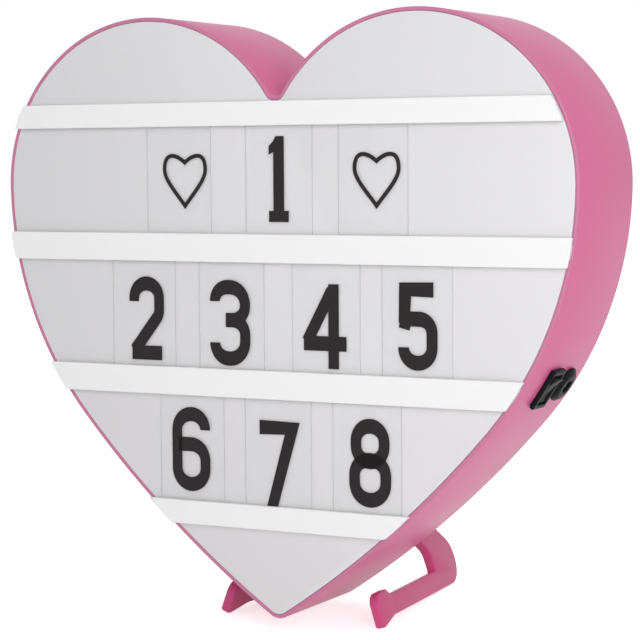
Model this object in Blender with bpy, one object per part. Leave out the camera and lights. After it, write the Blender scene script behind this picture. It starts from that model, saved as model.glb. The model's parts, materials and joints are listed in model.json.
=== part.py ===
"""Heart-shaped cinema light box, modelled piece by piece as it would come apart on a bench.

Lengths are in metres and angles in degrees. The box is drawn upright in its own frame: X to the
viewer's right, Y from the front plane to the back, Z up from the heart's tip. One empty then leans
the whole box back and stands it on the soles of its two feet.
"""

import math

import bmesh
import bpy
from mathutils import Matrix, Vector

# Heart outline: five tangent arcs on each side, from the notch round the lobe to the tip
LOBE_RADIUS = 0.0794
LOBE_CENTRE_SHARE = 0.88539
FLANK_RADIUS = 0.172
LOWER_RADIUS = 0.513
TIP_RADIUS = 0.0078
NOTCH_RADIUS = 0.0039
LEAST_TIP_RADIUS = 0.0028
LOBE_END_ANGLE = -1.0
FLANK_END_ANGLE = -41.2
NOTCH_STEPS = 3
LOBE_STEPS = 28
FLANK_STEPS = 8
LOWER_STEPS = 5
TIP_STEPS = 4

# Casing shell
CASING_DEPTH = 0.068
WALL = 0.0025
RIM_WIDTH = 0.00185
RIM_ROUND = 0.0008
LEDGE_WIDTH = 0.010
LEDGE_THICKNESS = 0.002
GAP = 0.0003
OVERRUN = 0.004
BOSS_RADIUS = 0.004
BOSS_PILOT_RADIUS = 0.00155
BOSS_PILOT_DEPTH = 0.013
BOSS_LOBE_ANGLE = 88.0
BOSS_FLANK_ANGLE = -14.0

# Pegs that are melted over behind the piece they hold: stem radius, head radius, head height
RAIL_PEG = (0.0012, 0.0022, 0.0010)
SHEET_PEG = (0.0012, 0.0022, 0.0010)
PEG_SIDES = 10

# Diffuser sheet and the four card rails on it
DIFFUSER_THICKNESS = 0.002
RAIL_CORE_THICKNESS = 0.0008
RAIL_PLATE_THICKNESS = 0.0022
RAIL_GROOVE = 0.0034
RAIL_END_INSET = 0.0006
RAIL_EDGE_ROUND = 0.0006
END_RAIL_HEIGHT = 0.0114
MIDDLE_RAIL_HEIGHT = 0.0134
TOP_RAIL_MARGIN = 0.00192
RAILS_BOTTOM_SHARE = 0.1481

# Each rail from the top down: name, height, and whether it grooves upwards and downwards
RAILS = (
    ("rail_top", END_RAIL_HEIGHT, False, True),
    ("rail_upper", MIDDLE_RAIL_HEIGHT, True, True),
    ("rail_lower", MIDDLE_RAIL_HEIGHT, True, True),
    ("rail_bottom", END_RAIL_HEIGHT, True, False),
)

# Clear cards: their width and, row by row, their centres as shares of half the width
CARD_WIDTH_SHARE = 0.2338
CARD_THICKNESS = 0.0005
CARD_ROW_SHARES = ((-0.344, 0.016, 0.340), (-0.479, -0.156, 0.178, 0.486), (-0.304, 0.007, 0.316))

# Rear cover, its screws and keyholes
COVER_THICKNESS = 0.0025
COVER_INSET = 0.0025
COVER_SIDE_GAP = 0.0004
COVER_HOLE_RADIUS = 0.0018
KEYHOLE_X_SHARE = 0.481
KEYHOLE_Z_SHARE = 0.7511
KEYHOLE_ENTRY_RADIUS = 0.0048
KEYHOLE_SLOT_RADIUS = 0.0024
KEYHOLE_SLOT_RISE = 0.0095
KEYHOLE_STEPS = 6

# Screws: head radius, head height, shank radius
COVER_SCREW = (0.0026, 0.0017, 0.00125)
BOX_SCREW = (0.0022, 0.0012, 0.0010)
COVER_SCREW_LENGTH = 0.012
BOX_SCREW_LENGTH = 0.006
SCREW_SIDES = 10

# Reflector sheet on posts of the rear cover
REFLECTOR_THICKNESS = 0.001
REFLECTOR_INSET = 0.0107
POST_RADIUS = 0.003
POST_LENGTH = 0.017
POST_SPOTS_SHARES = ((0.60, 0.66), (0.22, 0.24), (0.28, 0.79))
POST_PILOT_RADIUS = 0.0013
POST_SIDES = 12

# Light strips on the reflector, one behind each row of cards: half lengths as shares of half the width
STRIP_HALF_SHARES = (0.78, 0.61, 0.46)
STRIP_WIDTH = 0.008
STRIP_THICKNESS = 0.0004
CHIP_SIZE = 0.005
CHIP_THICKNESS = 0.0014
CHIP_SPACING = 0.038
CHIP_SINK_SHARE = 0.5
JUMPER_RADIUS = 0.0006
JUMPER_STEPS = (-1.5, 0.5)
WIRE_SIDES = 6

# Battery box with three round cells side by side, standing upright
CELL_COUNT = 3
CELL_RADIUS = 0.0071
CELL_BODY_LENGTH = 0.0492
CELL_NUB_RADIUS = 0.00275
CELL_NUB_LENGTH = 0.0013
CELL_PITCH = 0.0148
CELL_SIDES = 14
SPRING_LENGTH = 0.0055
SPRING_WIRE_RADIUS = 0.00035
SPRING_WIDE_RADIUS = 0.0042
SPRING_NARROW_RADIUS = 0.0024
SPRING_TURNS = 2.5
SPRING_TURN_POINTS = 9
SPRING_SIDES = 5
CONTACT_THICKNESS = 0.0004
CONTACT_HEIGHT = 0.0095
BOX_WALL = 0.002
BOX_CENTRE_Z_SHARE = 0.53
LUG_WIDTH = 0.004
LUG_LENGTH = 0.005
EAR_LENGTH = 0.009
EAR_WIDTH = 0.009
EAR_THICKNESS = 0.002
EAR_STEP = 0.0035

# Battery door, hinged on two pin stubs at its lower edge
DOOR_GAP = 0.0004
DOOR_OVERLAP = 0.0014
DOOR_THICKNESS = 0.0022
DOOR_PIN_RADIUS = 0.0006
DOOR_PIN_LENGTH = 0.0016
DOOR_PIN_CLEARANCE = 0.0002
DOOR_EDGE_STEPS = 6
DOOR_RIB_HEIGHT = 0.0006
DOOR_RIB_WIDTH = 0.0012
DOOR_RIB_LENGTH = 0.018
DOOR_RIB_PITCH = 0.0028
DOOR_RIB_COUNT = 4
DOOR_TAB_WIDTH = 0.012
DOOR_TAB_HEIGHT = 0.003

# Rocker switch, snapped into the side wall: along the wall, in depth, outward
FITTINGS_ANGLE = -32.8
SWITCH_TO_JACK = 0.020
BEZEL_LENGTH = 0.021
BEZEL_WIDTH = 0.0144
BEZEL_THICKNESS = 0.002
SWITCH_BODY_LENGTH = 0.0188
SWITCH_BODY_WIDTH = 0.0126
SWITCH_BODY_DEPTH = 0.012
SWITCH_WELL_LENGTH = 0.0162
SWITCH_WELL_WIDTH = 0.0104
SWITCH_WELL_DEPTH = 0.0052
ROCKER_LENGTH = 0.0144
ROCKER_WIDTH = 0.0096
ROCKER_PIVOT_DEPTH = 0.001
ROCKER_CREST = 0.0029
ROCKER_KEEL = 0.0025
ROCKER_TILT = 9.0
ROCKER_PIN_RADIUS = 0.0007
ROCKER_PIN_LENGTH = 0.0011
ROCKER_PIN_SIDES = 10
TERMINAL_LENGTH = 0.006
TERMINAL_WIDTH = 0.0044
TERMINAL_THICKNESS = 0.0008
TERMINAL_SPACING = 0.008

# Round power inlet beside the switch
JACK_TO_COVER = 0.0130
JACK_FLANGE_RADIUS = 0.0090
JACK_FLANGE_EDGE = 0.0007
JACK_FLANGE_HEIGHT = 0.0026
JACK_CROWN_RADIUS = 0.0056
JACK_BODY_RADIUS = 0.0053
JACK_BODY_DEPTH = 0.011
JACK_BORE_RADIUS = 0.0033
JACK_BORE_CHAMFER = 0.0004
JACK_BORE_DEPTH = 0.008
JACK_PIN_RADIUS = 0.001
JACK_PIN_LENGTH = 0.0068
JACK_TAIL_RADIUS = 0.0006
JACK_NUT_RADIUS = 0.0078
JACK_NUT_THICKNESS = 0.0022
JACK_TAB_OFFSET = 0.0038
JACK_SIDES = 20
NUT_SIDES = 12

# Small resistor board on the rear cover, in and down from the fittings in the side wall
BOARD_LENGTH = 0.034
BOARD_HEIGHT = 0.022
BOARD_THICKNESS = 0.0016
BOARD_FROM_WALL = 0.03537
BOARD_BELOW_FITTINGS = 0.02803
BOARD_POST_LENGTH = 0.0035
BOARD_POST_EDGE = 0.0035
RESISTOR_LENGTH = 0.0065
RESISTOR_WIDTH = 0.0025
RESISTOR_HEIGHT = 0.0022
RESISTOR_PITCH = 0.0045
RESISTOR_COUNT = 3
BOARD_SINK = 0.0004

# Inner wires
WIRE_RADIUS = 0.0008
WIRE_POINT_STEP = 0.004
WIRE_BEVEL_STEPS = 2
WIRE_BEND = 0.004

# Feet: a hooked plate each, drawn in its own plane from the middle of its socket's mouth.
# Reaches run backwards along the bar, drops run down the plate.
FOOT_THICKNESS = 0.005
FOOT_SPLAY_ANGLE = 18.5
FOOT_TOE_OUT_ANGLE = 4.8
FOOT_SOCKET_X = 0.0256
FOOT_SOCKET_Z = 0.0344
FOOT_ARM_HEIGHT = 0.012
FOOT_TONGUE_HEIGHT = 0.010
FOOT_TONGUE_LENGTH = 0.015
FOOT_BAR_DROP = 0.03865
FOOT_BAR_HEIGHT = 0.00985
FOOT_HEEL_REACH = 0.0669
FOOT_CROOK_REACH = 0.0364
FOOT_HEEL_BEND_DROP = 0.0194
FOOT_CROOK_BEND_DROP = 0.0185
FOOT_ARM_SLOPE = 36.9
FOOT_TOE_REACH = 0.0446
FOOT_TOE_LIFT_REACH = 0.0279
FOOT_NUB_FRONT_REACH = 0.0434
FOOT_NUB_BACK_REACH = 0.0262
FOOT_NUB_HEIGHT = 0.0132
FOOT_TOE_DIP = 0.0010
HEEL_ROUND = 0.0125
BEND_ROUND = 0.013
SHOULDER_ROUND = 0.020
CROOK_ROUND = 0.008
ARM_UNDER_ROUND = 0.010
CROOK_CORNER_ROUND = 0.0018
TOE_TIP_ROUND = 0.0018
TOE_LIFT_ROUND = 0.012
NUB_ROUND = 0.0062
NUB_HOLLOW_ROUND = 0.004
ROUND_STEP_ANGLE = 16.0
SOCKET_WALL = 0.002
SOLE_CUT = 0.0007
SOLE_REACH = 0.0456
LEAN_ANGLE = 2.0

COLOURS = {
    "pink": ((0.62, 0.165, 0.300), 0.42, 0.0),
    "foot_pink": ((0.53, 0.115, 0.240), 0.40, 0.0),
    "milk_white": ((0.80, 0.79, 0.80), 0.50, 0.0),
    "white": ((0.90, 0.90, 0.90), 0.40, 0.0),
    "clear": ((0.86, 0.87, 0.88), 0.15, 0.0),
    "black": ((0.025, 0.028, 0.028), 0.38, 0.0),
    "steel": ((0.62, 0.62, 0.64), 0.30, 1.0),
    "brass": ((0.72, 0.55, 0.27), 0.30, 1.0),
    "board_green": ((0.05, 0.22, 0.10), 0.45, 0.0),
    "cell_grey": ((0.30, 0.31, 0.33), 0.35, 0.2),
    "red": ((0.60, 0.03, 0.03), 0.45, 0.0),
}

materials = {}
FRONT = Vector((0.0, -1.0, 0.0))
BACK = Vector((0.0, 1.0, 0.0))
RIGHT = Vector((1.0, 0.0, 0.0))
UP = Vector((0.0, 0.0, 1.0))


def clear_scene():
    for item in list(bpy.data.objects):
        bpy.data.objects.remove(item)


def material(name):
    if name not in materials:
        colour, roughness, metallic = COLOURS[name]
        made = bpy.data.materials.new(name)
        made.use_nodes = True
        shader = made.node_tree.nodes["Principled BSDF"]
        shader.inputs["Base Color"].default_value = (*colour, 1.0)
        shader.inputs["Roughness"].default_value = roughness
        shader.inputs["Metallic"].default_value = metallic
        materials[name] = made
    return materials[name]


def heading(angle):
    """Unit vector in the heart's plane at an angle in degrees above +X, as X and Z."""
    return Vector((math.cos(math.radians(angle)), math.sin(math.radians(angle))))


def angle_of(vector):
    return math.degrees(math.atan2(vector[1], vector[0]))


def tip_centre_below(lower, inset):
    """Centre height of the tip's arc, tangent to both lower arcs, and its radius."""
    radius = max(TIP_RADIUS - inset, LEAST_TIP_RADIUS)
    reach = LOWER_RADIUS - inset - radius
    return lower[1] - math.sqrt(reach**2 - lower[0] ** 2), radius


def arc_centres():
    """Centres of the lobe, flank, lower and notch arcs, with the outline's tip at height zero."""
    lobe = Vector((LOBE_CENTRE_SHARE * LOBE_RADIUS, 0.0))
    flank = lobe + (LOBE_RADIUS - FLANK_RADIUS) * heading(LOBE_END_ANGLE)
    lower = flank + (FLANK_RADIUS - LOWER_RADIUS) * heading(FLANK_END_ANGLE)
    tip_z, tip_radius = tip_centre_below(lower, 0.0)
    rise = Vector((0.0, tip_radius - tip_z))
    notch_z = math.sqrt((LOBE_RADIUS + NOTCH_RADIUS) ** 2 - lobe[0] ** 2)
    return lobe + rise, flank + rise, lower + rise, Vector((0.0, notch_z)) + rise


LOBE_CENTRE, FLANK_CENTRE, LOWER_CENTRE, NOTCH_CENTRE = arc_centres()
HEART_HALF_WIDTH = LOBE_CENTRE[0] + LOBE_RADIUS
HEART_HEIGHT = LOBE_CENTRE[1] + LOBE_RADIUS


def arc_points(centre, radius, start, end, steps):
    """Points from start to end in equal steps of angle, the first one left out."""
    turns = [start + (end - start) * k / steps for k in range(1, steps + 1)]
    return [centre + radius * heading(turn) for turn in turns]


def half_outline(inset):
    """Right half of the heart's outline, moved inwards, from the notch to the tip."""
    tip_z, tip_radius = tip_centre_below(LOWER_CENTRE, inset)
    tip = Vector((0.0, tip_z))
    notch_angle = angle_of(LOBE_CENTRE - NOTCH_CENTRE)
    tip_angle = angle_of(tip - LOWER_CENTRE)
    points = [NOTCH_CENTRE + (NOTCH_RADIUS + inset) * heading(-90.0)]
    points += arc_points(NOTCH_CENTRE, NOTCH_RADIUS + inset, -90.0, notch_angle, NOTCH_STEPS)
    points += arc_points(LOBE_CENTRE, LOBE_RADIUS - inset, notch_angle + 180.0, LOBE_END_ANGLE, LOBE_STEPS)
    points += arc_points(FLANK_CENTRE, FLANK_RADIUS - inset, LOBE_END_ANGLE, FLANK_END_ANGLE, FLANK_STEPS)
    points += arc_points(LOWER_CENTRE, LOWER_RADIUS - inset, FLANK_END_ANGLE, tip_angle, LOWER_STEPS)
    points += arc_points(tip, tip_radius, tip_angle, -90.0, TIP_STEPS)
    points[0][0] = 0.0
    points[-1][0] = 0.0
    return points


def heart_loop(inset, depth):
    """Closed outline moved inwards, at one depth."""
    right = half_outline(inset)
    left = [Vector((-point[0], point[1])) for point in reversed(right[1:-1])]
    return [Vector((point[0], depth, point[1])) for point in right + left]


def half_width_at(height, inset):
    """Half the width of the heart at a height below its widest place, with its sides moved inwards."""
    points = [point for point in half_outline(inset) if point[0] > LOBE_CENTRE[0] or point[1] < LOBE_CENTRE[1]]
    for upper, lower in zip(points, points[1:]):
        if lower[1] <= height <= upper[1]:
            share = (height - lower[1]) / (upper[1] - lower[1])
            return lower[0] + share * (upper[0] - lower[0])
    return points[-1][0]


def skin(mesh, loops, closed=False):
    """Side faces between following loops of points, with caps, or joined round to the first loop."""
    rings = [[mesh.verts.new(point) for point in loop] for loop in loops]
    pairs = list(zip(rings, rings[1:]))
    if closed:
        pairs.append((rings[-1], rings[0]))
    for one, other in pairs:
        for k in range(len(one)):
            after = (k + 1) % len(one)
            mesh.faces.new((one[k], one[after], other[after], other[k]))
    if not closed:
        mesh.faces.new(rings[0])
        mesh.faces.new(rings[-1])


def prism(mesh, loop, travel):
    skin(mesh, [loop, [point + travel for point in loop]])


def block(mesh, centre, size, axes=(RIGHT, BACK, UP)):
    """Box round a centre, with its three sizes along three axes."""
    halves = [axis * (length / 2) for axis, length in zip(axes, size)]
    corners = ((-1, -1), (1, -1), (1, 1), (-1, 1))
    loop = [centre - halves[2] + i * halves[0] + j * halves[1] for i, j in corners]
    prism(mesh, loop, 2 * halves[2])


def block_between(mesh, low, high):
    """Box from its lowest to its highest corner."""
    block(mesh, (Vector(low) + Vector(high)) / 2, Vector(high) - Vector(low))


def across(axis):
    """Two unit vectors square to an axis and to each other."""
    guide = UP if abs(axis.dot(UP)) < abs(axis.dot(BACK)) else BACK
    first = guide.cross(axis).normalized()
    return first, axis.cross(first)


def circle(centre, axis, radius, sides, radius_at=None):
    first, second = across(axis)
    points = []
    for k in range(sides):
        turn = heading(360.0 * k / sides)
        reach = radius if radius_at is None else radius_at(k)
        points.append(centre + reach * (turn[0] * first + turn[1] * second))
    return points


def turned(mesh, base, axis, profile, sides):
    """Solid of revolution: profile is radius and distance along the axis, capped at both ends."""
    skin(mesh, [circle(base + axis * along, axis, radius, sides) for radius, along in profile])


def rod(mesh, base, axis, radius, length, sides):
    turned(mesh, base, axis, ((radius, 0.0), (radius, length)), sides)


def screw(mesh, seat, axis, kind, length):
    """Pan-head screw: seat is the middle of the head's underside, axis points along the shank."""
    head_radius, head_height, shank_radius = kind
    shoulder = head_radius * (head_radius / (head_radius + head_height))
    profile = ((shoulder, -head_height), (head_radius, -head_height / 2), (head_radius, 0.0))
    profile += ((shank_radius, 0.0), (shank_radius, length))
    turned(mesh, seat, axis, profile, SCREW_SIDES)


def peg(mesh, base, axis, kind, grip):
    """Stem that starts at its base and ends in a head melted over what it passes through."""
    stem_radius, head_radius, head_height = kind
    shoulder = head_radius * (head_radius / (head_radius + head_height))
    profile = ((stem_radius, 0.0), (stem_radius, grip), (head_radius, grip))
    profile += ((head_radius, grip + head_height / 2), (shoulder, grip + head_height))
    turned(mesh, base, axis, profile, PEG_SIDES)


def tube(mesh, points, radius, sides):
    """Round wire along points: each ring is the last one carried on and turned square to the run."""
    ahead = (points[1] - points[0]).normalized()
    side, up = across(ahead)
    rings = []
    for before, point, after in zip([points[0], *points], points, [*points[1:], points[-1]]):
        direction = (after - before).normalized()
        turn = ahead.rotation_difference(direction)
        side, up, ahead = turn @ side, turn @ up, direction
        ring = [heading(360.0 * k / sides) for k in range(sides)]
        rings.append([point + radius * (flat[0] * side + flat[1] * up) for flat in ring])
    skin(mesh, rings)


def finish_mesh(name, mesh, origin):
    bmesh.ops.recalc_face_normals(mesh, faces=mesh.faces)
    bmesh.ops.translate(mesh, verts=mesh.verts, vec=-origin)
    data = bpy.data.meshes.new(name)
    mesh.to_mesh(data)
    mesh.free()
    return data


def piece(name, mesh, finish, origin=None):
    """One named part, hung on the leaning empty, with its origin where it turns or slides."""
    origin = Vector((0.0, 0.0, 0.0)) if origin is None else origin
    made = bpy.data.objects.new(name, finish_mesh(name, mesh, origin))
    made.data.materials.append(material(finish))
    bpy.context.scene.collection.objects.link(made)
    made.parent = lean
    made.location = origin
    return made


def smooth(made, angle=35.0):
    made.data.shade_smooth()
    made.data.set_sharp_from_angle(angle=math.radians(angle))


def shape(target, mesh, operation):
    """Adds, cuts or intersects another closed shape, in the box's own frame."""
    name = target.name + "_" + operation.lower() + "_" + str(len(target.modifiers))
    tool = bpy.data.objects.new(name, finish_mesh(name, mesh, Vector((0.0, 0.0, 0.0))))
    bpy.context.scene.collection.objects.link(tool)
    tool.parent = lean
    tool.hide_render = True
    tool.display_type = "WIRE"
    change = target.modifiers.new(name, "BOOLEAN")
    change.operation = operation
    change.solver = "EXACT"
    change.object = tool


# Depths of the layers, all from the front plane of the rim
LEDGE_FRONT = DIFFUSER_THICKNESS + GAP
LEDGE_BACK = LEDGE_FRONT + LEDGE_THICKNESS
RAIL_BACK = -GAP
RAIL_PLATE_BACK = RAIL_BACK - RAIL_CORE_THICKNESS
RAIL_FRONT = RAIL_PLATE_BACK - RAIL_PLATE_THICKNESS
COVER_BACK = CASING_DEPTH - COVER_INSET
COVER_FRONT = COVER_BACK - COVER_THICKNESS
BOSS_TOP = COVER_FRONT - GAP
JACK_DEPTH = COVER_FRONT - JACK_TO_COVER
SWITCH_DEPTH = JACK_DEPTH - SWITCH_TO_JACK
POST_TOP = COVER_FRONT - POST_LENGTH
REFLECTOR_BACK = POST_TOP - GAP
REFLECTOR_FRONT = REFLECTOR_BACK - REFLECTOR_THICKNESS
BOSS_INSET = WALL + BOSS_RADIUS - (BOSS_RADIUS - BOSS_PILOT_RADIUS) / 3
RAIL_PEG_INSET = (RIM_WIDTH + LEDGE_WIDTH) / 2


def place(depth, flat):
    """Point at a depth over an X and Z pair of the heart's plane."""
    return Vector((flat[0], depth, flat[1]))


def boss_spots():
    """Where the cover's screws go: on the lobes and flanks, in the notch and at the tip."""
    right = [LOBE_CENTRE + (LOBE_RADIUS - BOSS_INSET) * heading(BOSS_LOBE_ANGLE)]
    right.append(FLANK_CENTRE + (FLANK_RADIUS - BOSS_INSET) * heading(BOSS_FLANK_ANGLE))
    left = [Vector((-spot[0], spot[1])) for spot in right]
    notch = NOTCH_CENTRE + (NOTCH_RADIUS + BOSS_INSET) * heading(-90.0)
    return right + left + [Vector((0.0, notch[1])), Vector((0.0, BOSS_INSET))]


def rail_spans():
    """Name, bottom and top of each rail, with equal windows between them, and its grooves."""
    top = NOTCH_CENTRE[1] - NOTCH_RADIUS - TOP_RAIL_MARGIN
    rails = sum(height for _, height, _, _ in RAILS)
    window = (top - RAILS_BOTTOM_SHARE * HEART_HEIGHT - rails) / (len(RAILS) - 1)
    spans = []
    for name, height, up, down in RAILS:
        spans.append((name, top - height, top, up, down))
        top -= height + window
    return spans


def peg_spots_of(bottom, top):
    """The two pegs of one rail, over the middle of the ledge."""
    height = (bottom + top) / 2
    x = half_width_at(height, RAIL_PEG_INSET)
    return [Vector((x, height)), Vector((-x, height))]


def rail_peg_spots():
    return [spot for _, bottom, top, *_ in rail_spans() for spot in peg_spots_of(bottom, top)]


def post_spots():
    """Posts that carry the reflector, in pairs, as shares of half the width and of the height."""
    spots = []
    for x_share, z_share in POST_SPOTS_SHARES:
        x, z = x_share * HEART_HALF_WIDTH, z_share * HEART_HEIGHT
        spots += [Vector((x, z)), Vector((-x, z))]
    return spots


def wall_frame(depth):
    """Point on the side wall where the fittings sit, and the directions along, backwards and outwards."""
    out = heading(FITTINGS_ANGLE)
    flat = FLANK_CENTRE + FLANK_RADIUS * out
    outward = Vector((out[0], 0.0, out[1]))
    along = Vector((-out[1], 0.0, out[0]))
    return place(depth, flat), along, BACK, outward


def board_centre():
    """Middle of the board in the heart's plane, at a fixed distance from the fittings."""
    point, along, _, outward = wall_frame(COVER_FRONT)
    centre = point - outward * BOARD_FROM_WALL - along * BOARD_BELOW_FITTINGS
    return Vector((centre[0], centre[2]))


def in_wall(depth, along_by, back_by, out_by):
    point, along, back, outward = wall_frame(depth)
    return point + along * along_by + back * back_by + outward * out_by


# Battery box sizes, from the cells outwards
CELL_LENGTH = CELL_BODY_LENGTH + CELL_NUB_LENGTH
BOX_INNER_HALF_WIDTH = CELL_COUNT * CELL_PITCH / 2 + GAP
BOX_INNER_HEIGHT = CELL_LENGTH + SPRING_LENGTH + 2 * CONTACT_THICKNESS + 4 * GAP
BOX_INNER_LOW = BOX_CENTRE_Z_SHARE * HEART_HEIGHT - BOX_INNER_HEIGHT / 2
BOX_INNER_HIGH = BOX_INNER_LOW + BOX_INNER_HEIGHT
BOX_TOP = COVER_FRONT - GAP
CELL_AXIS_DEPTH = BOX_TOP - CELL_RADIUS
BOX_INNER_FLOOR = CELL_AXIS_DEPTH - CELL_RADIUS - GAP
BOX_FLOOR = BOX_INNER_FLOOR - BOX_WALL
DOORWAY_HALF_WIDTH = BOX_INNER_HALF_WIDTH + DOOR_OVERLAP
DOORWAY_LOW = BOX_INNER_LOW - DOOR_OVERLAP
DOORWAY_HIGH = BOX_INNER_HIGH + DOOR_OVERLAP
EAR_BACK = BOX_FLOOR + EAR_STEP + EAR_THICKNESS
EAR_FRONT = BOX_FLOOR + EAR_STEP
EAR_X = BOX_INNER_HALF_WIDTH + BOX_WALL + EAR_LENGTH / 2
BOARD_BACK = COVER_FRONT - BOARD_POST_LENGTH - GAP
BOARD_FRONT = BOARD_BACK - BOARD_THICKNESS
BOARD_CENTRE = board_centre()


def ear_spots():
    """Middles of the battery box's two screw ears."""
    middle = (BOX_INNER_LOW + BOX_INNER_HIGH) / 2
    return [Vector((-EAR_X, middle)), Vector((EAR_X, middle))]


def board_peg_spots():
    """The two pegs of the board, near its left and right ends."""
    x = Vector((BOARD_LENGTH / 2 - BOARD_POST_EDGE, 0.0))
    return [BOARD_CENTRE - x, BOARD_CENTRE + x]


def make_casing():
    """Side wall with its rounded rim, the ledge behind the diffuser and the cover's screw bosses."""
    section = (
        (0.0, CASING_DEPTH - RIM_ROUND),
        (0.0, RIM_ROUND),
        (RIM_ROUND * (1 - math.sqrt(0.5)), RIM_ROUND * (1 - math.sqrt(0.5))),
        (RIM_ROUND, 0.0),
        (RIM_WIDTH, 0.0),
        (RIM_WIDTH, LEDGE_FRONT),
        (LEDGE_WIDTH, LEDGE_FRONT),
        (LEDGE_WIDTH, LEDGE_BACK),
        (WALL, LEDGE_BACK),
        (WALL, CASING_DEPTH),
        (RIM_ROUND, CASING_DEPTH),
    )
    mesh = bmesh.new()
    skin(mesh, [heart_loop(inset, depth) for inset, depth in section], closed=True)
    casing = piece("casing", mesh, "pink")
    bosses = bmesh.new()
    middle = (LEDGE_FRONT + LEDGE_BACK) / 2
    for spot in boss_spots():
        rod(bosses, place(middle, spot), BACK, BOSS_RADIUS, BOSS_TOP - middle, POST_SIDES)
    shape(casing, bosses, "UNION")
    holes = bmesh.new()
    for spot in boss_spots():
        rod(holes, place(BOSS_TOP - BOSS_PILOT_DEPTH, spot), BACK, BOSS_PILOT_RADIUS,
            BOSS_PILOT_DEPTH + OVERRUN, SCREW_SIDES)
    for spot in rail_peg_spots():
        start = place(LEDGE_FRONT - GAP / 2, spot)
        rod(holes, start, BACK, RAIL_PEG[0] + GAP, LEDGE_THICKNESS + GAP, PEG_SIDES)
    point, along, back, outward = wall_frame(SWITCH_DEPTH)
    opening = (SWITCH_BODY_LENGTH + 2 * GAP, SWITCH_BODY_WIDTH + 2 * GAP, WALL + OVERRUN)
    block(holes, point - outward * (WALL / 2), opening, (along, back, outward))
    point, along, back, outward = wall_frame(JACK_DEPTH)
    start = point - outward * (WALL + OVERRUN / 2)
    rod(holes, start, outward, JACK_BODY_RADIUS + GAP, WALL + OVERRUN, JACK_SIDES)
    shape(casing, holes, "DIFFERENCE")
    smooth(casing)


def make_diffuser():
    mesh = bmesh.new()
    inset = RIM_WIDTH + GAP
    skin(mesh, [heart_loop(inset, 0.0), heart_loop(inset, DIFFUSER_THICKNESS)])
    diffuser = piece("diffuser_panel", mesh, "milk_white")
    holes = bmesh.new()
    for spot in rail_peg_spots():
        length = DIFFUSER_THICKNESS + 2 * OVERRUN
        rod(holes, place(-OVERRUN, spot), BACK, RAIL_PEG[0] + GAP, length, PEG_SIDES)
    shape(diffuser, holes, "DIFFERENCE")


def rail_section(bottom, top, grooves_up, grooves_down):
    """Front plate with rounded front edges on a narrower core, as depth and height."""
    core_bottom = bottom + RAIL_GROOVE if grooves_down else bottom
    core_top = top - RAIL_GROOVE if grooves_up else top
    face = RAIL_FRONT + RAIL_EDGE_ROUND
    section = [(face, bottom), (RAIL_PLATE_BACK, bottom)]
    if grooves_down:
        section.append((RAIL_PLATE_BACK, core_bottom))
    section += [(RAIL_BACK, core_bottom), (RAIL_BACK, core_top)]
    if grooves_up:
        section.append((RAIL_PLATE_BACK, core_top))
    section += [(RAIL_PLATE_BACK, top), (face, top), (RAIL_FRONT, top - RAIL_EDGE_ROUND)]
    section.append((RAIL_FRONT, bottom + RAIL_EDGE_ROUND))
    corners = []
    for corner in section:
        if not corners or corner != corners[-1]:
            corners.append(corner)
    return corners


def make_rails():
    """Four white rails across the front, with two pegs each. Their ends follow the heart's outline."""
    for name, bottom, top, up, down in rail_spans():
        mesh = bmesh.new()
        reach = HEART_HALF_WIDTH + OVERRUN
        loop = [Vector((-reach, depth, height)) for depth, height in rail_section(bottom, top, up, down)]
        prism(mesh, loop, RIGHT * (2 * reach))
        rail = piece(name, mesh, "white")
        guide = bmesh.new()
        skin(guide, [heart_loop(RAIL_END_INSET, RAIL_FRONT - OVERRUN), heart_loop(RAIL_END_INSET, OVERRUN)])
        shape(rail, guide, "INTERSECT")
        pegs = bmesh.new()
        for spot in peg_spots_of(bottom, top):
            base = place(RAIL_PLATE_BACK, spot)
            peg(pegs, base, BACK, RAIL_PEG, LEDGE_BACK + GAP - RAIL_PLATE_BACK)
        shape(rail, pegs, "UNION")


def card_rows():
    """Bottom and top of the cards in each of the three windows."""
    spans = rail_spans()
    reach = RAIL_GROOVE - GAP
    return [(below[2] - reach, above[1] + reach) for above, below in zip(spans, spans[1:])]


def make_cards():
    width = CARD_WIDTH_SHARE * HEART_HALF_WIDTH
    for row, ((bottom, top), shares) in enumerate(zip(card_rows(), CARD_ROW_SHARES), start=1):
        for column, share in enumerate(shares, start=1):
            back = RAIL_BACK
            centre = Vector((share * HEART_HALF_WIDTH, back - CARD_THICKNESS / 2, (bottom + top) / 2))
            mesh = bmesh.new()
            block(mesh, centre, (width, CARD_THICKNESS, top - bottom))
            piece(f"card_{row}_{column}", mesh, "clear", centre)


def keyhole_loop(x):
    """Outline of a keyhole: a round entry with a narrower slot rising from it."""
    lip = math.degrees(math.asin(KEYHOLE_SLOT_RADIUS / KEYHOLE_ENTRY_RADIUS))
    entry = Vector((x, KEYHOLE_Z_SHARE * HEART_HEIGHT))
    slot = entry + Vector((0.0, KEYHOLE_SLOT_RISE))
    start = entry + KEYHOLE_ENTRY_RADIUS * heading(90.0 - lip)
    flat = [start]
    flat += arc_points(entry, KEYHOLE_ENTRY_RADIUS, 90.0 - lip, -270.0 + lip, 2 * KEYHOLE_STEPS)
    flat.append(slot + KEYHOLE_SLOT_RADIUS * heading(180.0))
    flat += arc_points(slot, KEYHOLE_SLOT_RADIUS, 180.0, 0.0, KEYHOLE_STEPS)
    return [place(COVER_FRONT - OVERRUN / 2, point) for point in flat]


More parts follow.
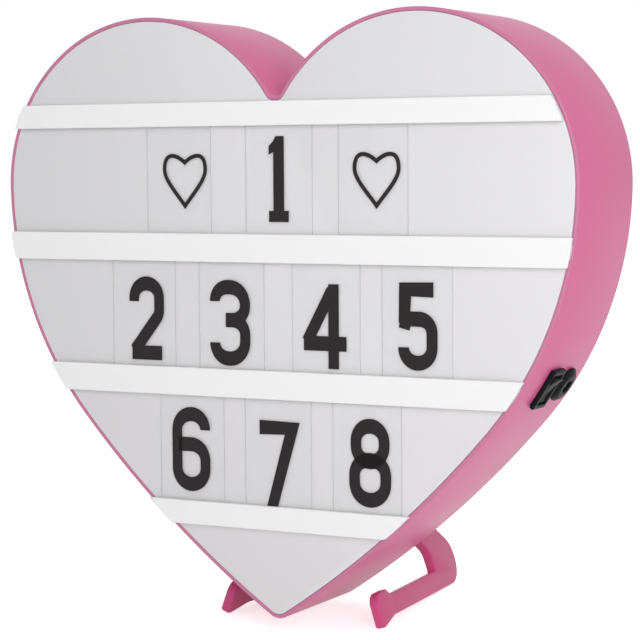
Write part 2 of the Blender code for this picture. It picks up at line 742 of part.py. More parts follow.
def make_rear_cover():
    """Flat panel set into the back, with posts, foot sockets, keyholes and the battery doorway."""
    mesh = bmesh.new()
    inset = WALL + COVER_SIDE_GAP
    skin(mesh, [heart_loop(inset, COVER_FRONT), heart_loop(inset, COVER_BACK)])
    cover = piece("rear_cover", mesh, "pink")
    middle = (COVER_FRONT + COVER_BACK) / 2
    added = bmesh.new()
    for spot in post_spots():
        rod(added, place(POST_TOP, spot), BACK, POST_RADIUS, middle - POST_TOP, POST_SIDES)
    for spot in ear_spots():
        rod(added, place(EAR_BACK + GAP, spot), BACK, POST_RADIUS, middle - EAR_BACK - GAP, POST_SIDES)
    for spot in board_peg_spots():
        rod(added, place(BOARD_BACK + GAP, spot), BACK, POST_RADIUS, middle - BOARD_BACK - GAP, POST_SIDES)
    for side in (-1, 1):
        size = (FOOT_THICKNESS + 2 * (SOCKET_WALL + GAP), FOOT_TONGUE_LENGTH + SOCKET_WALL,
                FOOT_TONGUE_HEIGHT + 2 * (SOCKET_WALL + GAP))
        centre = foot_point(side, -size[1] / 2 - COVER_THICKNESS / 2, 0.0, 0.0)
        block(added, centre, size, foot_axes(side))
    shape(cover, added, "UNION")
    pegs = bmesh.new()
    for spot in post_spots():
        base = place(POST_TOP + OVERRUN, spot)
        peg(pegs, base, FRONT, SHEET_PEG, OVERRUN + POST_TOP + GAP - REFLECTOR_FRONT)
    for spot in board_peg_spots():
        base = place(BOARD_BACK + GAP + OVERRUN / 2, spot)
        peg(pegs, base, FRONT, SHEET_PEG, OVERRUN / 2 + BOARD_THICKNESS + 2 * GAP)
    shape(cover, pegs, "UNION")
    holes = bmesh.new()
    for spot in boss_spots():
        start = place(COVER_FRONT - OVERRUN / 2, spot)
        rod(holes, start, BACK, COVER_HOLE_RADIUS, COVER_THICKNESS + OVERRUN, SCREW_SIDES)
    for spot in ear_spots():
        start = place(EAR_BACK - OVERRUN, spot)
        rod(holes, start, BACK, POST_PILOT_RADIUS, BOX_SCREW_LENGTH + OVERRUN, SCREW_SIDES)
    for side in (-1, 1):
        loop = keyhole_loop(side * KEYHOLE_X_SHARE * HEART_HALF_WIDTH)
        prism(holes, loop, BACK * (COVER_THICKNESS + OVERRUN))
    for side in (-1, 1):
        size = (FOOT_THICKNESS + 2 * GAP, FOOT_TONGUE_LENGTH + GAP + OVERRUN, FOOT_TONGUE_HEIGHT + 2 * GAP)
        block(holes, foot_point(side, OVERRUN - size[1] / 2, 0.0, 0.0), size, foot_axes(side))
    low = (-DOORWAY_HALF_WIDTH, COVER_FRONT - OVERRUN / 2, DOORWAY_LOW)
    high = (DOORWAY_HALF_WIDTH, COVER_BACK + OVERRUN / 2, DOORWAY_HIGH)
    block_between(holes, low, high)
    shape(cover, holes, "DIFFERENCE")
    bores = bmesh.new()
    reach = DOORWAY_HALF_WIDTH + DOOR_PIN_LENGTH + DOOR_GAP
    start = door_pivot() - RIGHT * reach
    rod(bores, start, RIGHT, DOOR_PIN_RADIUS + DOOR_PIN_CLEARANCE, 2 * reach, SCREW_SIDES)
    shape(cover, bores, "DIFFERENCE")
    notch = bmesh.new()
    half = DOOR_TAB_WIDTH / 2 + DOOR_GAP
    low = (-half, COVER_FRONT - OVERRUN / 2, DOORWAY_HIGH - OVERRUN)
    high = (half, COVER_BACK + OVERRUN / 2, DOORWAY_HIGH + DOOR_TAB_HEIGHT)
    block_between(notch, low, high)
    shape(cover, notch, "DIFFERENCE")
    smooth(cover)


def make_cover_screws():
    for number, spot in enumerate(boss_spots(), start=1):
        mesh = bmesh.new()
        screw(mesh, place(COVER_BACK + GAP, spot), FRONT, COVER_SCREW, COVER_SCREW_LENGTH)
        smooth(piece(f"cover_screw_{number}", mesh, "steel"))


def make_reflector():
    """White sheet behind the lamps, cut away round the switch and the power inlet."""
    mesh = bmesh.new()
    skin(mesh, [heart_loop(REFLECTOR_INSET, REFLECTOR_FRONT), heart_loop(REFLECTOR_INSET, REFLECTOR_BACK)])
    sheet = piece("reflector_sheet", mesh, "white")
    holes = bmesh.new()
    point, along, back, outward = wall_frame(REFLECTOR_BACK - REFLECTOR_THICKNESS / 2)
    reach = JACK_BODY_DEPTH + TERMINAL_LENGTH + 3 * WIRE_BEND
    size = (BEZEL_LENGTH + 4 * WIRE_BEND, REFLECTOR_THICKNESS + OVERRUN, 2 * reach)
    block(holes, point, size, (along, back, outward))
    for spot in post_spots():
        start = place(REFLECTOR_FRONT - OVERRUN, spot)
        rod(holes, start, BACK, SHEET_PEG[0] + GAP, REFLECTOR_THICKNESS + 2 * OVERRUN, PEG_SIDES)
    start = place(REFLECTOR_FRONT - OVERRUN, feed_spot())
    rod(holes, start, BACK, 5 * WIRE_RADIUS, REFLECTOR_THICKNESS + 2 * OVERRUN, POST_SIDES)
    shape(sheet, holes, "DIFFERENCE")


def strip_rows():
    """Height and half length of each strip, from the top window to the bottom one."""
    rows = card_rows()
    halves = [share * HEART_HALF_WIDTH for share in STRIP_HALF_SHARES]
    return [((bottom + top) / 2, half) for (bottom, top), half in zip(rows, halves)]


STRIP_BACK = REFLECTOR_FRONT - GAP
STRIP_FRONT = STRIP_BACK - STRIP_THICKNESS


def make_light_strips():
    """Strips stuck to the reflector, each with its row of light chips, joined in a chain by two jumpers."""
    for row, (height, half) in enumerate(strip_rows(), start=1):
        mesh = bmesh.new()
        low = (-half, STRIP_FRONT, height - STRIP_WIDTH / 2)
        block_between(mesh, low, (half, STRIP_BACK, height + STRIP_WIDTH / 2))
        strip = piece(f"light_strip_{row}", mesh, "white")
        chips = bmesh.new()
        sink = CHIP_SINK_SHARE * STRIP_THICKNESS
        count = int((half - CHIP_SIZE) / CHIP_SPACING)
        for k in range(-count, count + 1):
            centre = Vector((k * CHIP_SPACING, STRIP_FRONT + sink - CHIP_THICKNESS / 2, height))
            block(chips, centre, (CHIP_SIZE, CHIP_THICKNESS, CHIP_SIZE))
        shape(strip, chips, "UNION")
    rows = strip_rows()
    for number, (step, upper, lower) in enumerate(zip(JUMPER_STEPS, rows, rows[1:]), start=1):
        mesh = bmesh.new()
        start = Vector((step * CHIP_SPACING, STRIP_FRONT - GAP - JUMPER_RADIUS, upper[0]))
        rod(mesh, start, -UP, JUMPER_RADIUS, upper[0] - lower[0], WIRE_SIDES)
        smooth(piece(f"strip_jumper_{number}", mesh, "red"))


def make_battery_box():
    """Open tray behind the cover, with two screwed ears and a slot for each end contact's lug."""
    mesh = bmesh.new()
    half = BOX_INNER_HALF_WIDTH + BOX_WALL
    outer = ((-half, BOX_INNER_LOW - BOX_WALL), (half, BOX_INNER_LOW - BOX_WALL))
    outer += ((half, BOX_INNER_HIGH + BOX_WALL), (-half, BOX_INNER_HIGH + BOX_WALL))
    inner_half = BOX_INNER_HALF_WIDTH
    inner = ((-inner_half, BOX_INNER_LOW), (inner_half, BOX_INNER_LOW))
    inner += ((inner_half, BOX_INNER_HIGH), (-inner_half, BOX_INNER_HIGH))
    skin(mesh, [
        [place(BOX_FLOOR, corner) for corner in outer],
        [place(BOX_TOP, corner) for corner in outer],
        [place(BOX_TOP, corner) for corner in inner],
        [place(BOX_INNER_FLOOR, corner) for corner in inner],
    ])
    box = piece("battery_box", mesh, "black")
    ears = bmesh.new()
    for spot in ear_spots():
        inward = math.copysign(BOX_WALL / 4, spot[0])
        centre = place((EAR_FRONT + EAR_BACK) / 2, spot) - RIGHT * inward
        block(ears, centre, (EAR_LENGTH + BOX_WALL / 2, EAR_THICKNESS, EAR_WIDTH))
    shape(box, ears, "UNION")
    holes = bmesh.new()
    for spot in ear_spots():
        start = place(EAR_FRONT - OVERRUN / 2, spot)
        rod(holes, start, BACK, BOX_SCREW[2] + GAP, EAR_THICKNESS + OVERRUN, SCREW_SIDES)
    for x, height, side in lug_places():
        centre = Vector((x, CELL_AXIS_DEPTH, height + side * BOX_WALL / 2))
        block(holes, centre, (LUG_WIDTH + 2 * GAP, CONTACT_THICKNESS + 2 * GAP, BOX_WALL + OVERRUN / 2))
    shape(box, holes, "DIFFERENCE")
    for number, spot in enumerate(ear_spots(), start=1):
        screws = bmesh.new()
        screw(screws, place(EAR_FRONT - GAP, spot), BACK, BOX_SCREW, BOX_SCREW_LENGTH)
        smooth(piece(f"box_screw_{number}", screws, "steel"))


def cell_places():
    """Middle of each cell's column, and whether its nub points up."""
    first = -(CELL_COUNT - 1) * CELL_PITCH / 2
    return [(first + k * CELL_PITCH, k % 2 == 0) for k in range(CELL_COUNT)]


def lug_places():
    """Column, inner wall height and outward side of the lug of the first and the last contact."""
    places = cell_places()
    last_nub_up = places[-1][1]
    last = (places[-1][0], BOX_INNER_LOW if last_nub_up else BOX_INNER_HIGH, -1 if last_nub_up else 1)
    return [(places[0][0], BOX_INNER_HIGH, 1), last]


def helix_points(base, axis):
    """Points of a conical spring, wide at its base, from inside its plate to just short of the cell."""
    first, second = across(axis)
    count = int(SPRING_TURNS * SPRING_TURN_POINTS)
    points = []
    for k in range(count + 1):
        share = k / count
        radius = SPRING_WIDE_RADIUS + (SPRING_NARROW_RADIUS - SPRING_WIDE_RADIUS) * share
        turn = heading(360.0 * SPRING_TURNS * share)
        along = (SPRING_LENGTH - GAP - SPRING_WIRE_RADIUS) * share
        points.append(base + axis * along + radius * (turn[0] * first + turn[1] * second))
    return points


def make_cells():
    """Cells standing side by side, heads up and down by turns."""
    for number, (x, nub_up) in enumerate(cell_places(), start=1):
        axis = UP if nub_up else -UP
        plate = BOX_INNER_LOW if nub_up else BOX_INNER_HIGH
        base = Vector((x, CELL_AXIS_DEPTH, plate)) + axis * (GAP + CONTACT_THICKNESS + SPRING_LENGTH)
        profile = ((CELL_RADIUS, 0.0), (CELL_RADIUS, CELL_BODY_LENGTH))
        profile += ((CELL_NUB_RADIUS, CELL_BODY_LENGTH), (CELL_NUB_RADIUS, CELL_LENGTH))
        mesh = bmesh.new()
        turned(mesh, base, axis, profile, CELL_SIDES)
        smooth(piece(f"battery_cell_{number}", mesh, "cell_grey"))


def make_contacts():
    """Flat and sprung contacts: one plate for each end of the chain and one across each pair of cells."""
    places = cell_places()
    groups = [((places[0][0], False),)]
    for (x, _), (next_x, _) in zip(places, places[1:]):
        groups.append(((x, True), (next_x, False)))
    groups.append(((places[-1][0], True),))
    for number, group in enumerate(groups):
        top = number % 2 == 0
        axis = -UP if top else UP
        wall = BOX_INNER_HIGH if top else BOX_INNER_LOW
        middle = sum(x for x, _ in group) / len(group)
        width = CELL_PITCH * len(group) - 4 * GAP
        plate = bmesh.new()
        centre = Vector((middle, CELL_AXIS_DEPTH, wall)) + axis * (GAP + CONTACT_THICKNESS / 2)
        block(plate, centre, (width, CONTACT_HEIGHT, CONTACT_THICKNESS))
        contact = piece(f"battery_contact_{number + 1}", plate, "brass")
        if len(group) == 1:
            lug = bmesh.new()
            length = LUG_LENGTH + BOX_WALL + GAP
            block(lug, centre - axis * (length / 2), (LUG_WIDTH, CONTACT_THICKNESS, length))
            shape(contact, lug, "UNION")
        for x, sprung in group:
            if sprung:
                coil = bmesh.new()
                base = Vector((x, CELL_AXIS_DEPTH, wall)) + axis * (GAP + CONTACT_THICKNESS)
                tube(coil, helix_points(base, axis), SPRING_WIRE_RADIUS, SPRING_SIDES)
                shape(contact, coil, "UNION")


def door_pivot():
    """Middle of the battery door's hinge line."""
    depth = COVER_BACK - DOOR_THICKNESS / 2
    return Vector((0.0, depth, DOORWAY_LOW + DOOR_GAP + DOOR_THICKNESS / 2))


def make_battery_door():
    """Door with a round lower edge on its hinge line, pin stubs, thumb ribs and a latch tab."""
    pivot = door_pivot()
    half = DOORWAY_HALF_WIDTH - DOOR_GAP
    top = DOORWAY_HIGH - DOOR_GAP
    radius = DOOR_THICKNESS / 2
    edge = []
    for k in range(DOOR_EDGE_STEPS + 1):
        turn = heading(-180.0 * k / DOOR_EDGE_STEPS)
        edge.append((pivot[1] + radius * turn[0], pivot[2] + radius * turn[1]))
    edge += [(pivot[1] - radius, top), (pivot[1] + radius, top)]
    mesh = bmesh.new()
    prism(mesh, [Vector((-half, depth, height)) for depth, height in edge], RIGHT * (2 * half))
    door = piece("battery_door", mesh, "pink", pivot)
    added = bmesh.new()
    inner = half - DOOR_PIN_LENGTH
    for side in (-1, 1):
        start = Vector((side * inner, pivot[1], pivot[2]))
        rod(added, start, RIGHT * side, DOOR_PIN_RADIUS, 2 * DOOR_PIN_LENGTH, SCREW_SIDES)
    for k in range(DOOR_RIB_COUNT):
        height = top - DOOR_TAB_HEIGHT - k * DOOR_RIB_PITCH
        centre = Vector((0.0, pivot[1] + radius, height))
        block(added, centre, (DOOR_RIB_LENGTH, 2 * DOOR_RIB_HEIGHT, DOOR_RIB_WIDTH))
    tab = Vector((0.0, pivot[1], top))
    block(added, tab, (DOOR_TAB_WIDTH, DOOR_THICKNESS - GAP, 2 * (DOOR_TAB_HEIGHT - DOOR_GAP / 2)))
    shape(door, added, "UNION")


def make_switch():
    """Rocker switch: housing with its bezel, the rocker on two pins and two blade terminals."""
    point, along, back, outward = wall_frame(SWITCH_DEPTH)
    axes = (along, back, outward)
    mesh = bmesh.new()
    top = GAP + BEZEL_THICKNESS / 2
    block(mesh, point + outward * ((top - SWITCH_BODY_DEPTH) / 2),
          (SWITCH_BODY_LENGTH, SWITCH_BODY_WIDTH, top + SWITCH_BODY_DEPTH), axes)
    housing = piece("switch_housing", mesh, "black")
    bezel = bmesh.new()
    block(bezel, point + outward * top, (BEZEL_LENGTH, BEZEL_WIDTH, BEZEL_THICKNESS), axes)
    shape(housing, bezel, "UNION")
    well = bmesh.new()
    depth = SWITCH_WELL_DEPTH + OVERRUN
    centre = point + outward * (depth / 2 - SWITCH_WELL_DEPTH)
    block(well, centre, (SWITCH_WELL_LENGTH, SWITCH_WELL_WIDTH, depth), axes)
    shape(housing, well, "DIFFERENCE")
    pivot = point - outward * ROCKER_PIVOT_DEPTH
    bores = bmesh.new()
    reach = SWITCH_BODY_WIDTH / 2 + OVERRUN
    rod(bores, pivot - back * reach, back, ROCKER_PIN_RADIUS + GAP, 2 * reach, ROCKER_PIN_SIDES)
    shape(housing, bores, "DIFFERENCE")
    make_rocker(pivot, along, back, outward)
    for number, side in enumerate((-1, 1), start=1):
        blade = bmesh.new()
        centre = point + along * (side * TERMINAL_SPACING / 2)
        centre -= outward * (SWITCH_BODY_DEPTH + GAP + TERMINAL_LENGTH / 2)
        block(blade, centre, (TERMINAL_THICKNESS, TERMINAL_WIDTH, TERMINAL_LENGTH), axes)
        piece(f"switch_terminal_{number}", blade, "brass")


def make_rocker(pivot, along, back, outward):
    """Shallow V on top, so that one half lies level with the bezel while the other stands up."""
    half = ROCKER_LENGTH / 2
    shoulder = ROCKER_CREST + half * math.tan(math.radians(ROCKER_TILT))
    crown = ((half, shoulder), (0.0, ROCKER_CREST), (-half, shoulder))
    section = ((-half, -ROCKER_KEEL), (half, -ROCKER_KEEL)) + crown
    tilt = Matrix.Rotation(math.radians(ROCKER_TILT), 2)
    loop = []
    for corner in section:
        turned_corner = tilt @ Vector(corner)
        start = pivot - back * (ROCKER_WIDTH / 2)
        loop.append(start + along * turned_corner[0] + outward * turned_corner[1])
    mesh = bmesh.new()
    prism(mesh, loop, back * ROCKER_WIDTH)
    rocker = piece("switch_rocker", mesh, "black", pivot)
    pins = bmesh.new()
    reach = ROCKER_WIDTH / 2 + ROCKER_PIN_LENGTH
    for side in (-1, 1):
        start = pivot + back * (side * (reach - 2 * ROCKER_PIN_LENGTH))
        rod(pins, start, back * side, ROCKER_PIN_RADIUS, 2 * ROCKER_PIN_LENGTH, ROCKER_PIN_SIDES)
    shape(rocker, pins, "UNION")


def make_power_inlet():
    """Round inlet with a domed flange, its nut behind the wall, its centre pin and a side terminal."""
    point, along, back, outward = wall_frame(JACK_DEPTH)
    crown = GAP + JACK_FLANGE_HEIGHT
    floor = crown - JACK_BORE_DEPTH
    profile = (
        (JACK_BODY_RADIUS, -JACK_BODY_DEPTH),
        (JACK_BODY_RADIUS, GAP),
        (JACK_FLANGE_RADIUS, GAP),
        (JACK_FLANGE_RADIUS, GAP + JACK_FLANGE_EDGE),
        ((JACK_FLANGE_RADIUS + JACK_CROWN_RADIUS) / 2, crown - JACK_FLANGE_EDGE / 2),
        (JACK_CROWN_RADIUS, crown),
        (JACK_BORE_RADIUS + JACK_BORE_CHAMFER, crown),
        (JACK_BORE_RADIUS, crown - JACK_BORE_CHAMFER),
        (JACK_BORE_RADIUS, floor),
        (JACK_TAIL_RADIUS + GAP, floor),
        (JACK_TAIL_RADIUS + GAP, -JACK_BODY_DEPTH),
    )
    mesh = bmesh.new()
    loops = [circle(point + outward * level, outward, radius, JACK_SIDES) for radius, level in profile]
    skin(mesh, loops, closed=True)
    smooth(piece("power_inlet", mesh, "black"))
    pin = bmesh.new()
    foot = floor + GAP
    profile = (
        (JACK_TAIL_RADIUS, -JACK_BODY_DEPTH - TERMINAL_LENGTH),
        (JACK_TAIL_RADIUS, foot),
        (JACK_PIN_RADIUS, foot),
        (JACK_PIN_RADIUS, foot + JACK_PIN_LENGTH - JACK_PIN_RADIUS),
        (JACK_PIN_RADIUS / 2, foot + JACK_PIN_LENGTH),
    )
    turned(pin, point, outward, profile, SCREW_SIDES)
    smooth(piece("inlet_pin", pin, "brass"))
    nut = bmesh.new()
    nut_front = -WALL - GAP
    flats = math.cos(math.radians(30.0))

    def hexagon(k):
        return JACK_NUT_RADIUS if k % 2 == 0 else JACK_NUT_RADIUS * flats

    near, far = point + outward * nut_front, point + outward * (nut_front - JACK_NUT_THICKNESS)
    bore = JACK_BODY_RADIUS + 2 * GAP
    skin(nut, [
        circle(near, outward, JACK_NUT_RADIUS, NUT_SIDES, hexagon),
        circle(far, outward, JACK_NUT_RADIUS, NUT_SIDES, hexagon),
        circle(far, outward, bore, NUT_SIDES),
        circle(near, outward, bore, NUT_SIDES),
    ], closed=True)
    piece("inlet_nut", nut, "steel")
    tab = bmesh.new()
    centre = point + along * JACK_TAB_OFFSET - outward * (JACK_BODY_DEPTH + GAP + TERMINAL_LENGTH / 2)
    block(tab, centre, (TERMINAL_THICKNESS, TERMINAL_WIDTH / 2, TERMINAL_LENGTH), (along, back, outward))
    piece("inlet_terminal", tab, "brass")


def make_board():
    """Small board with its soldered resistors, held on two pegs of the cover."""
    mesh = bmesh.new()
    centre = place((BOARD_FRONT + BOARD_BACK) / 2, BOARD_CENTRE)
    block(mesh, centre, (BOARD_LENGTH, BOARD_THICKNESS, BOARD_HEIGHT))
    board = piece("resistor_board", mesh, "board_green")
    resistors = bmesh.new()
    depth = BOARD_FRONT + BOARD_SINK - RESISTOR_HEIGHT / 2
    for k in range(RESISTOR_COUNT):
        height = BOARD_CENTRE[1] + (k - (RESISTOR_COUNT - 1) / 2) * RESISTOR_PITCH
        centre = Vector((BOARD_CENTRE[0], depth, height))
        block(resistors, centre, (RESISTOR_LENGTH, RESISTOR_HEIGHT, RESISTOR_WIDTH))
    shape(board, resistors, "UNION")
    holes = bmesh.new()
    for spot in board_peg_spots():
        start = place(BOARD_FRONT - OVERRUN, spot)
        rod(holes, start, BACK, SHEET_PEG[0] + GAP, BOARD_THICKNESS + 2 * OVERRUN, PEG_SIDES)
    shape(board, holes, "DIFFERENCE")


def smooth_route(corners):
    """Points of a smooth curve through the route's own points. Its first and last steps run straight."""
    runs = [after - before for before, after in zip(corners, corners[1:])]
    headings = [runs[0].normalized()]
    for before, after in zip(runs, runs[1:]):
        share = before.length / (before.length + after.length)
        headings.append((1 - share) * before.normalized() + share * after.normalized())
    headings.append(runs[-1].normalized())
    points = [corners[0]]
    for start, run, first, last in zip(corners, runs, headings, headings[1:]):
        steps = max(1, round(run.length / WIRE_POINT_STEP))
        leave, arrive = first * run.length, last * run.length
        for k in range(1, steps + 1):
            t = k / steps
            swell = t * (1 - t) ** 2 * leave - t**2 * (1 - t) * arrive
            points.append(start + run * (t * t * (3 - 2 * t)) + swell)
    return points


def feed_spot():
    """Where the lamps' two wires pass through the reflector, just above the lowest strip's right end."""
    height, half = strip_rows()[-1]
    return Vector((half, height + STRIP_WIDTH + WIRE_BEND))


def board_pad(x_share, z_share):
    """Point just in front of the board, as shares of its half sizes from its middle."""
    flat = BOARD_CENTRE + Vector((x_share * BOARD_LENGTH / 2, z_share * BOARD_HEIGHT / 2))
    return place(BOARD_FRONT - GAP, flat)


def wire(name, route, finish):
    """Round wire along a smooth curve through its route, with closed ends."""
    curve = bpy.data.curves.new(name, "CURVE")
    curve.dimensions = "3D"
    curve.bevel_depth = WIRE_RADIUS
    curve.bevel_resolution = WIRE_BEVEL_STEPS
    curve.use_fill_caps = True
    points = smooth_route(route)
    spline = curve.splines.new("POLY")
    spline.points.add(len(points) - 1)
    for spot, point in zip(spline.points, points):
        spot.co = (*point, 1.0)
    made = bpy.data.objects.new(name, curve)
    curve.materials.append(material(finish))
    bpy.context.scene.collection.objects.link(made)
    made.parent = lean


def make_switch_wires():
    """From the positive contact to one blade of the switch, and from the other blade to the board."""
    blade = -(SWITCH_BODY_DEPTH + 2 * GAP + TERMINAL_LENGTH)
    half = TERMINAL_SPACING / 2
    behind = SWITCH_TO_JACK
    x, height, side = lug_places()[0]
    lug = Vector((x, CELL_AXIS_DEPTH, height + side * (BOX_WALL + LUG_LENGTH + GAP)))
    wire("wire_battery_red", [
        lug,
        lug + UP * WIRE_BEND,
        lug + UP * (2 * WIRE_BEND) + RIGHT * WIRE_BEND,
        lug + UP * (2 * WIRE_BEND) + RIGHT * (EAR_X - x),
        in_wall(SWITCH_DEPTH, 3 * half, behind + WIRE_BEND, blade - 4 * WIRE_BEND),
        in_wall(SWITCH_DEPTH, 2 * half, behind, blade - 3 * WIRE_BEND / 2),
        in_wall(SWITCH_DEPTH, half, 0.0, blade - WIRE_BEND),
        in_wall(SWITCH_DEPTH, half, 0.0, blade),
    ], "red")
    pad = board_pad(0.90, -0.60)
    wire("wire_switch_red", [
        in_wall(SWITCH_DEPTH, -half, 0.0, blade),
        in_wall(SWITCH_DEPTH, -half, 0.0, blade - WIRE_BEND),
        in_wall(SWITCH_DEPTH, -2 * half, behind / 2, blade - 3 * WIRE_BEND / 2),
        in_wall(SWITCH_DEPTH, -3 * half, behind, blade - WIRE_BEND),
        pad + FRONT * WIRE_BEND,
        pad,
    ], "red")


def make_power_wires():
    """From the negative contact and from the inlet's two terminals to the board."""
    x, height, side = lug_places()[1]
    lug = Vector((x, CELL_AXIS_DEPTH, height + side * (BOX_WALL + LUG_LENGTH + GAP)))
    pad = board_pad(-0.80, -0.70)
    wire("wire_battery_black", [
        lug,
        lug + UP * (side * WIRE_BEND),
        lug + UP * (2 * side * WIRE_BEND) + RIGHT * WIRE_BEND,
        pad + FRONT * WIRE_BEND - RIGHT * (2 * WIRE_BEND),
        pad + FRONT * (WIRE_BEND / 2),
        pad,
    ], "black")
    tail = -(JACK_BODY_DEPTH + GAP + TERMINAL_LENGTH)
    for name, offset, level, pad_shares, finish in (
        ("wire_inlet_red", 0.0, tail, (0.55, 0.80), "red"),
        ("wire_inlet_black", JACK_TAB_OFFSET, tail - GAP, (0.05, 0.80), "black"),
    ):
        pad = board_pad(*pad_shares)
        wire(name, [
            in_wall(JACK_DEPTH, offset, 0.0, level),
            in_wall(JACK_DEPTH, offset, 0.0, level - WIRE_BEND),
            pad + FRONT * WIRE_BEND,
            pad,
        ], finish)


def make_lamp_wires():
    """From the board forward through the reflector to the lowest strip."""
    for name, side, finish in (("wire_lamp_red", 1, "red"), ("wire_lamp_black", -1, "black")):
        spot = feed_spot() + Vector((side * 5 * WIRE_RADIUS / 2, 0.0))
        pad = board_pad(-0.38 + side * 0.24, -0.80)
        offset = Vector((side * WIRE_BEND / 2 - WIRE_BEND, -STRIP_WIDTH))
        landing = place(STRIP_FRONT - GAP, feed_spot() + offset)
        wire(name, [
            pad,
            pad + FRONT * (WIRE_BEND / 2),
            place(REFLECTOR_BACK + WIRE_BEND / 2, spot),
            place(REFLECTOR_FRONT - WIRE_BEND / 2, spot),
            landing + FRONT * WIRE_BEND,
            landing,
        ], finish)


def foot_axes(side):
    """Across the plate, backwards along the bar and up the plate, for the right or the left foot."""
    splay, toe_out = math.radians(FOOT_SPLAY_ANGLE), math.radians(FOOT_TOE_OUT_ANGLE)
    level = Vector((math.cos(toe_out), math.sin(toe_out), 0.0))
    across_plate = level * math.cos(splay) + UP * math.sin(splay)
    backwards = Vector((-math.sin(toe_out), math.cos(toe_out), 0.0))
    upwards = across_plate.cross(backwards)
    mirror = Vector((side, 1.0, 1.0))
    return across_plate * mirror, backwards * mirror, upwards * mirror


def foot_point(side, reach, rise, out):
    """Point of a foot: reach behind the socket's mouth, rise above its middle, out across the plate."""
    across_plate, backwards, upwards = foot_axes(side)
    mouth = Vector((side * FOOT_SOCKET_X, COVER_BACK, FOOT_SOCKET_Z))
    return mouth + backwards * reach + upwards * rise + across_plate * out


def floor_height_at(depth):
    """Height of the floor in the box's own frame, where it slopes because the box leans back."""
    sole = foot_point(1, SOLE_REACH, -FOOT_BAR_DROP, -FOOT_THICKNESS / 2)
    return sole[2] + SOLE_CUT + (depth - sole[1]) * math.tan(math.radians(LEAN_ANGLE))


def toe_drop():
    """How far below the socket's middle the toe's tip lies, so that it reaches the floor."""
    tip = foot_point(1, -FOOT_TOE_REACH, -FOOT_BAR_DROP, -FOOT_THICKNESS / 2)
    return FOOT_BAR_DROP + (tip[2] - floor_height_at(tip[1])) / foot_axes(1)[2][2] + FOOT_TOE_DIP


def rounded(corners):
    """Closed outline through corners of position and radius, each turned in equal steps of angle."""
    points = []
    count = len(corners)
    for k, (x, y, radius) in enumerate(corners):
        corner = Vector((x, y))
        before = (Vector(corners[k - 1][:2]) - corner).normalized()
        after = (Vector(corners[(k + 1) % count][:2]) - corner).normalized()
        if radius == 0.0:
            points.append(corner)
            continue
        half = before.angle(after) / 2
        centre = corner + (before + after).normalized() * (radius / math.sin(half))
        start = corner + before * (radius / math.tan(half))
        end = corner + after * (radius / math.tan(half))
        first, last = angle_of(start - centre), angle_of(end - centre)
        sweep = (last - first + 180.0) % 360.0 - 180.0
        steps = max(1, math.ceil(abs(sweep) / ROUND_STEP_ANGLE))
        points.append(start)
        points += [centre + radius * heading(first + sweep * s / steps) for s in range(1, steps + 1)]
    return points


def foot_outline():
    """Hooked profile, as reach and rise: tongue, sloping arm, heel, bar and upturned toe."""
    half_arm, half_tongue = FOOT_ARM_HEIGHT / 2, FOOT_TONGUE_HEIGHT / 2
    slope = math.tan(math.radians(FOOT_ARM_SLOPE))
    bar_top = FOOT_BAR_HEIGHT - FOOT_BAR_DROP
    heel_bend = -FOOT_HEEL_BEND_DROP
    crook_bend = -FOOT_CROOK_BEND_DROP
    shoulder = FOOT_HEEL_REACH - (half_arm - heel_bend) / slope
    under = FOOT_CROOK_REACH - (-half_arm - crook_bend) / slope
    lip = 2 * GAP
    return rounded([
        (lip, half_arm, 0.0),
        (shoulder, half_arm, SHOULDER_ROUND),
        (FOOT_HEEL_REACH, heel_bend, BEND_ROUND),
        (FOOT_HEEL_REACH, -FOOT_BAR_DROP, HEEL_ROUND),
        (-FOOT_TOE_LIFT_REACH, -FOOT_BAR_DROP, TOE_LIFT_ROUND),
        (-FOOT_TOE_REACH, -toe_drop(), TOE_TIP_ROUND),
        (-FOOT_NUB_FRONT_REACH, FOOT_NUB_HEIGHT - FOOT_BAR_DROP, NUB_ROUND),
        (-FOOT_NUB_BACK_REACH - NUB_HOLLOW_ROUND, FOOT_NUB_HEIGHT - FOOT_BAR_DROP, NUB_HOLLOW_ROUND / 2),
        (-FOOT_NUB_BACK_REACH, bar_top, NUB_HOLLOW_ROUND / 2),
        (FOOT_CROOK_REACH, bar_top, CROOK_CORNER_ROUND),
        (FOOT_CROOK_REACH, crook_bend, CROOK_ROUND),
        (under, -half_arm, ARM_UNDER_ROUND),
        (lip, -half_arm, 0.0),
        (lip, -half_tongue, 0.0),
        (-FOOT_TONGUE_LENGTH, -half_tongue, 0.0),
        (-FOOT_TONGUE_LENGTH, half_tongue, 0.0),
        (lip, half_tongue, 0.0),
    ])


def make_foot(name, side):
    """Hooked plate with its soles cut level with the floor."""
    outline = foot_outline()
    mesh = bmesh.new()
    near = [foot_point(side, reach, rise, FOOT_THICKNESS / 2) for reach, rise in outline]
    far = [foot_point(side, reach, rise, -FOOT_THICKNESS / 2) for reach, rise in outline]
    skin(mesh, [near, far])
    bmesh.ops.recalc_face_normals(mesh, faces=mesh.faces)
    lean_slope = math.radians(LEAN_ANGLE)
    floor_up = Vector((0.0, -math.sin(lean_slope), math.cos(lean_slope)))
    parts = mesh.verts[:] + mesh.edges[:] + mesh.faces[:]
    cut = bmesh.ops.bisect_plane(mesh, geom=parts, plane_co=Vector((0.0, 0.0, floor_height_at(0.0))),
                                 plane_no=floor_up, clear_inner=True)
    edges = [item for item in cut["geom_cut"] if isinstance(item, bmesh.types.BMEdge)]
    bmesh.ops.holes_fill(mesh, edges=edges, sides=0)
    made = piece(name, mesh, "foot_pink", foot_point(side, 0.0, 0.0, 0.0))
    smooth(made, 28.0)


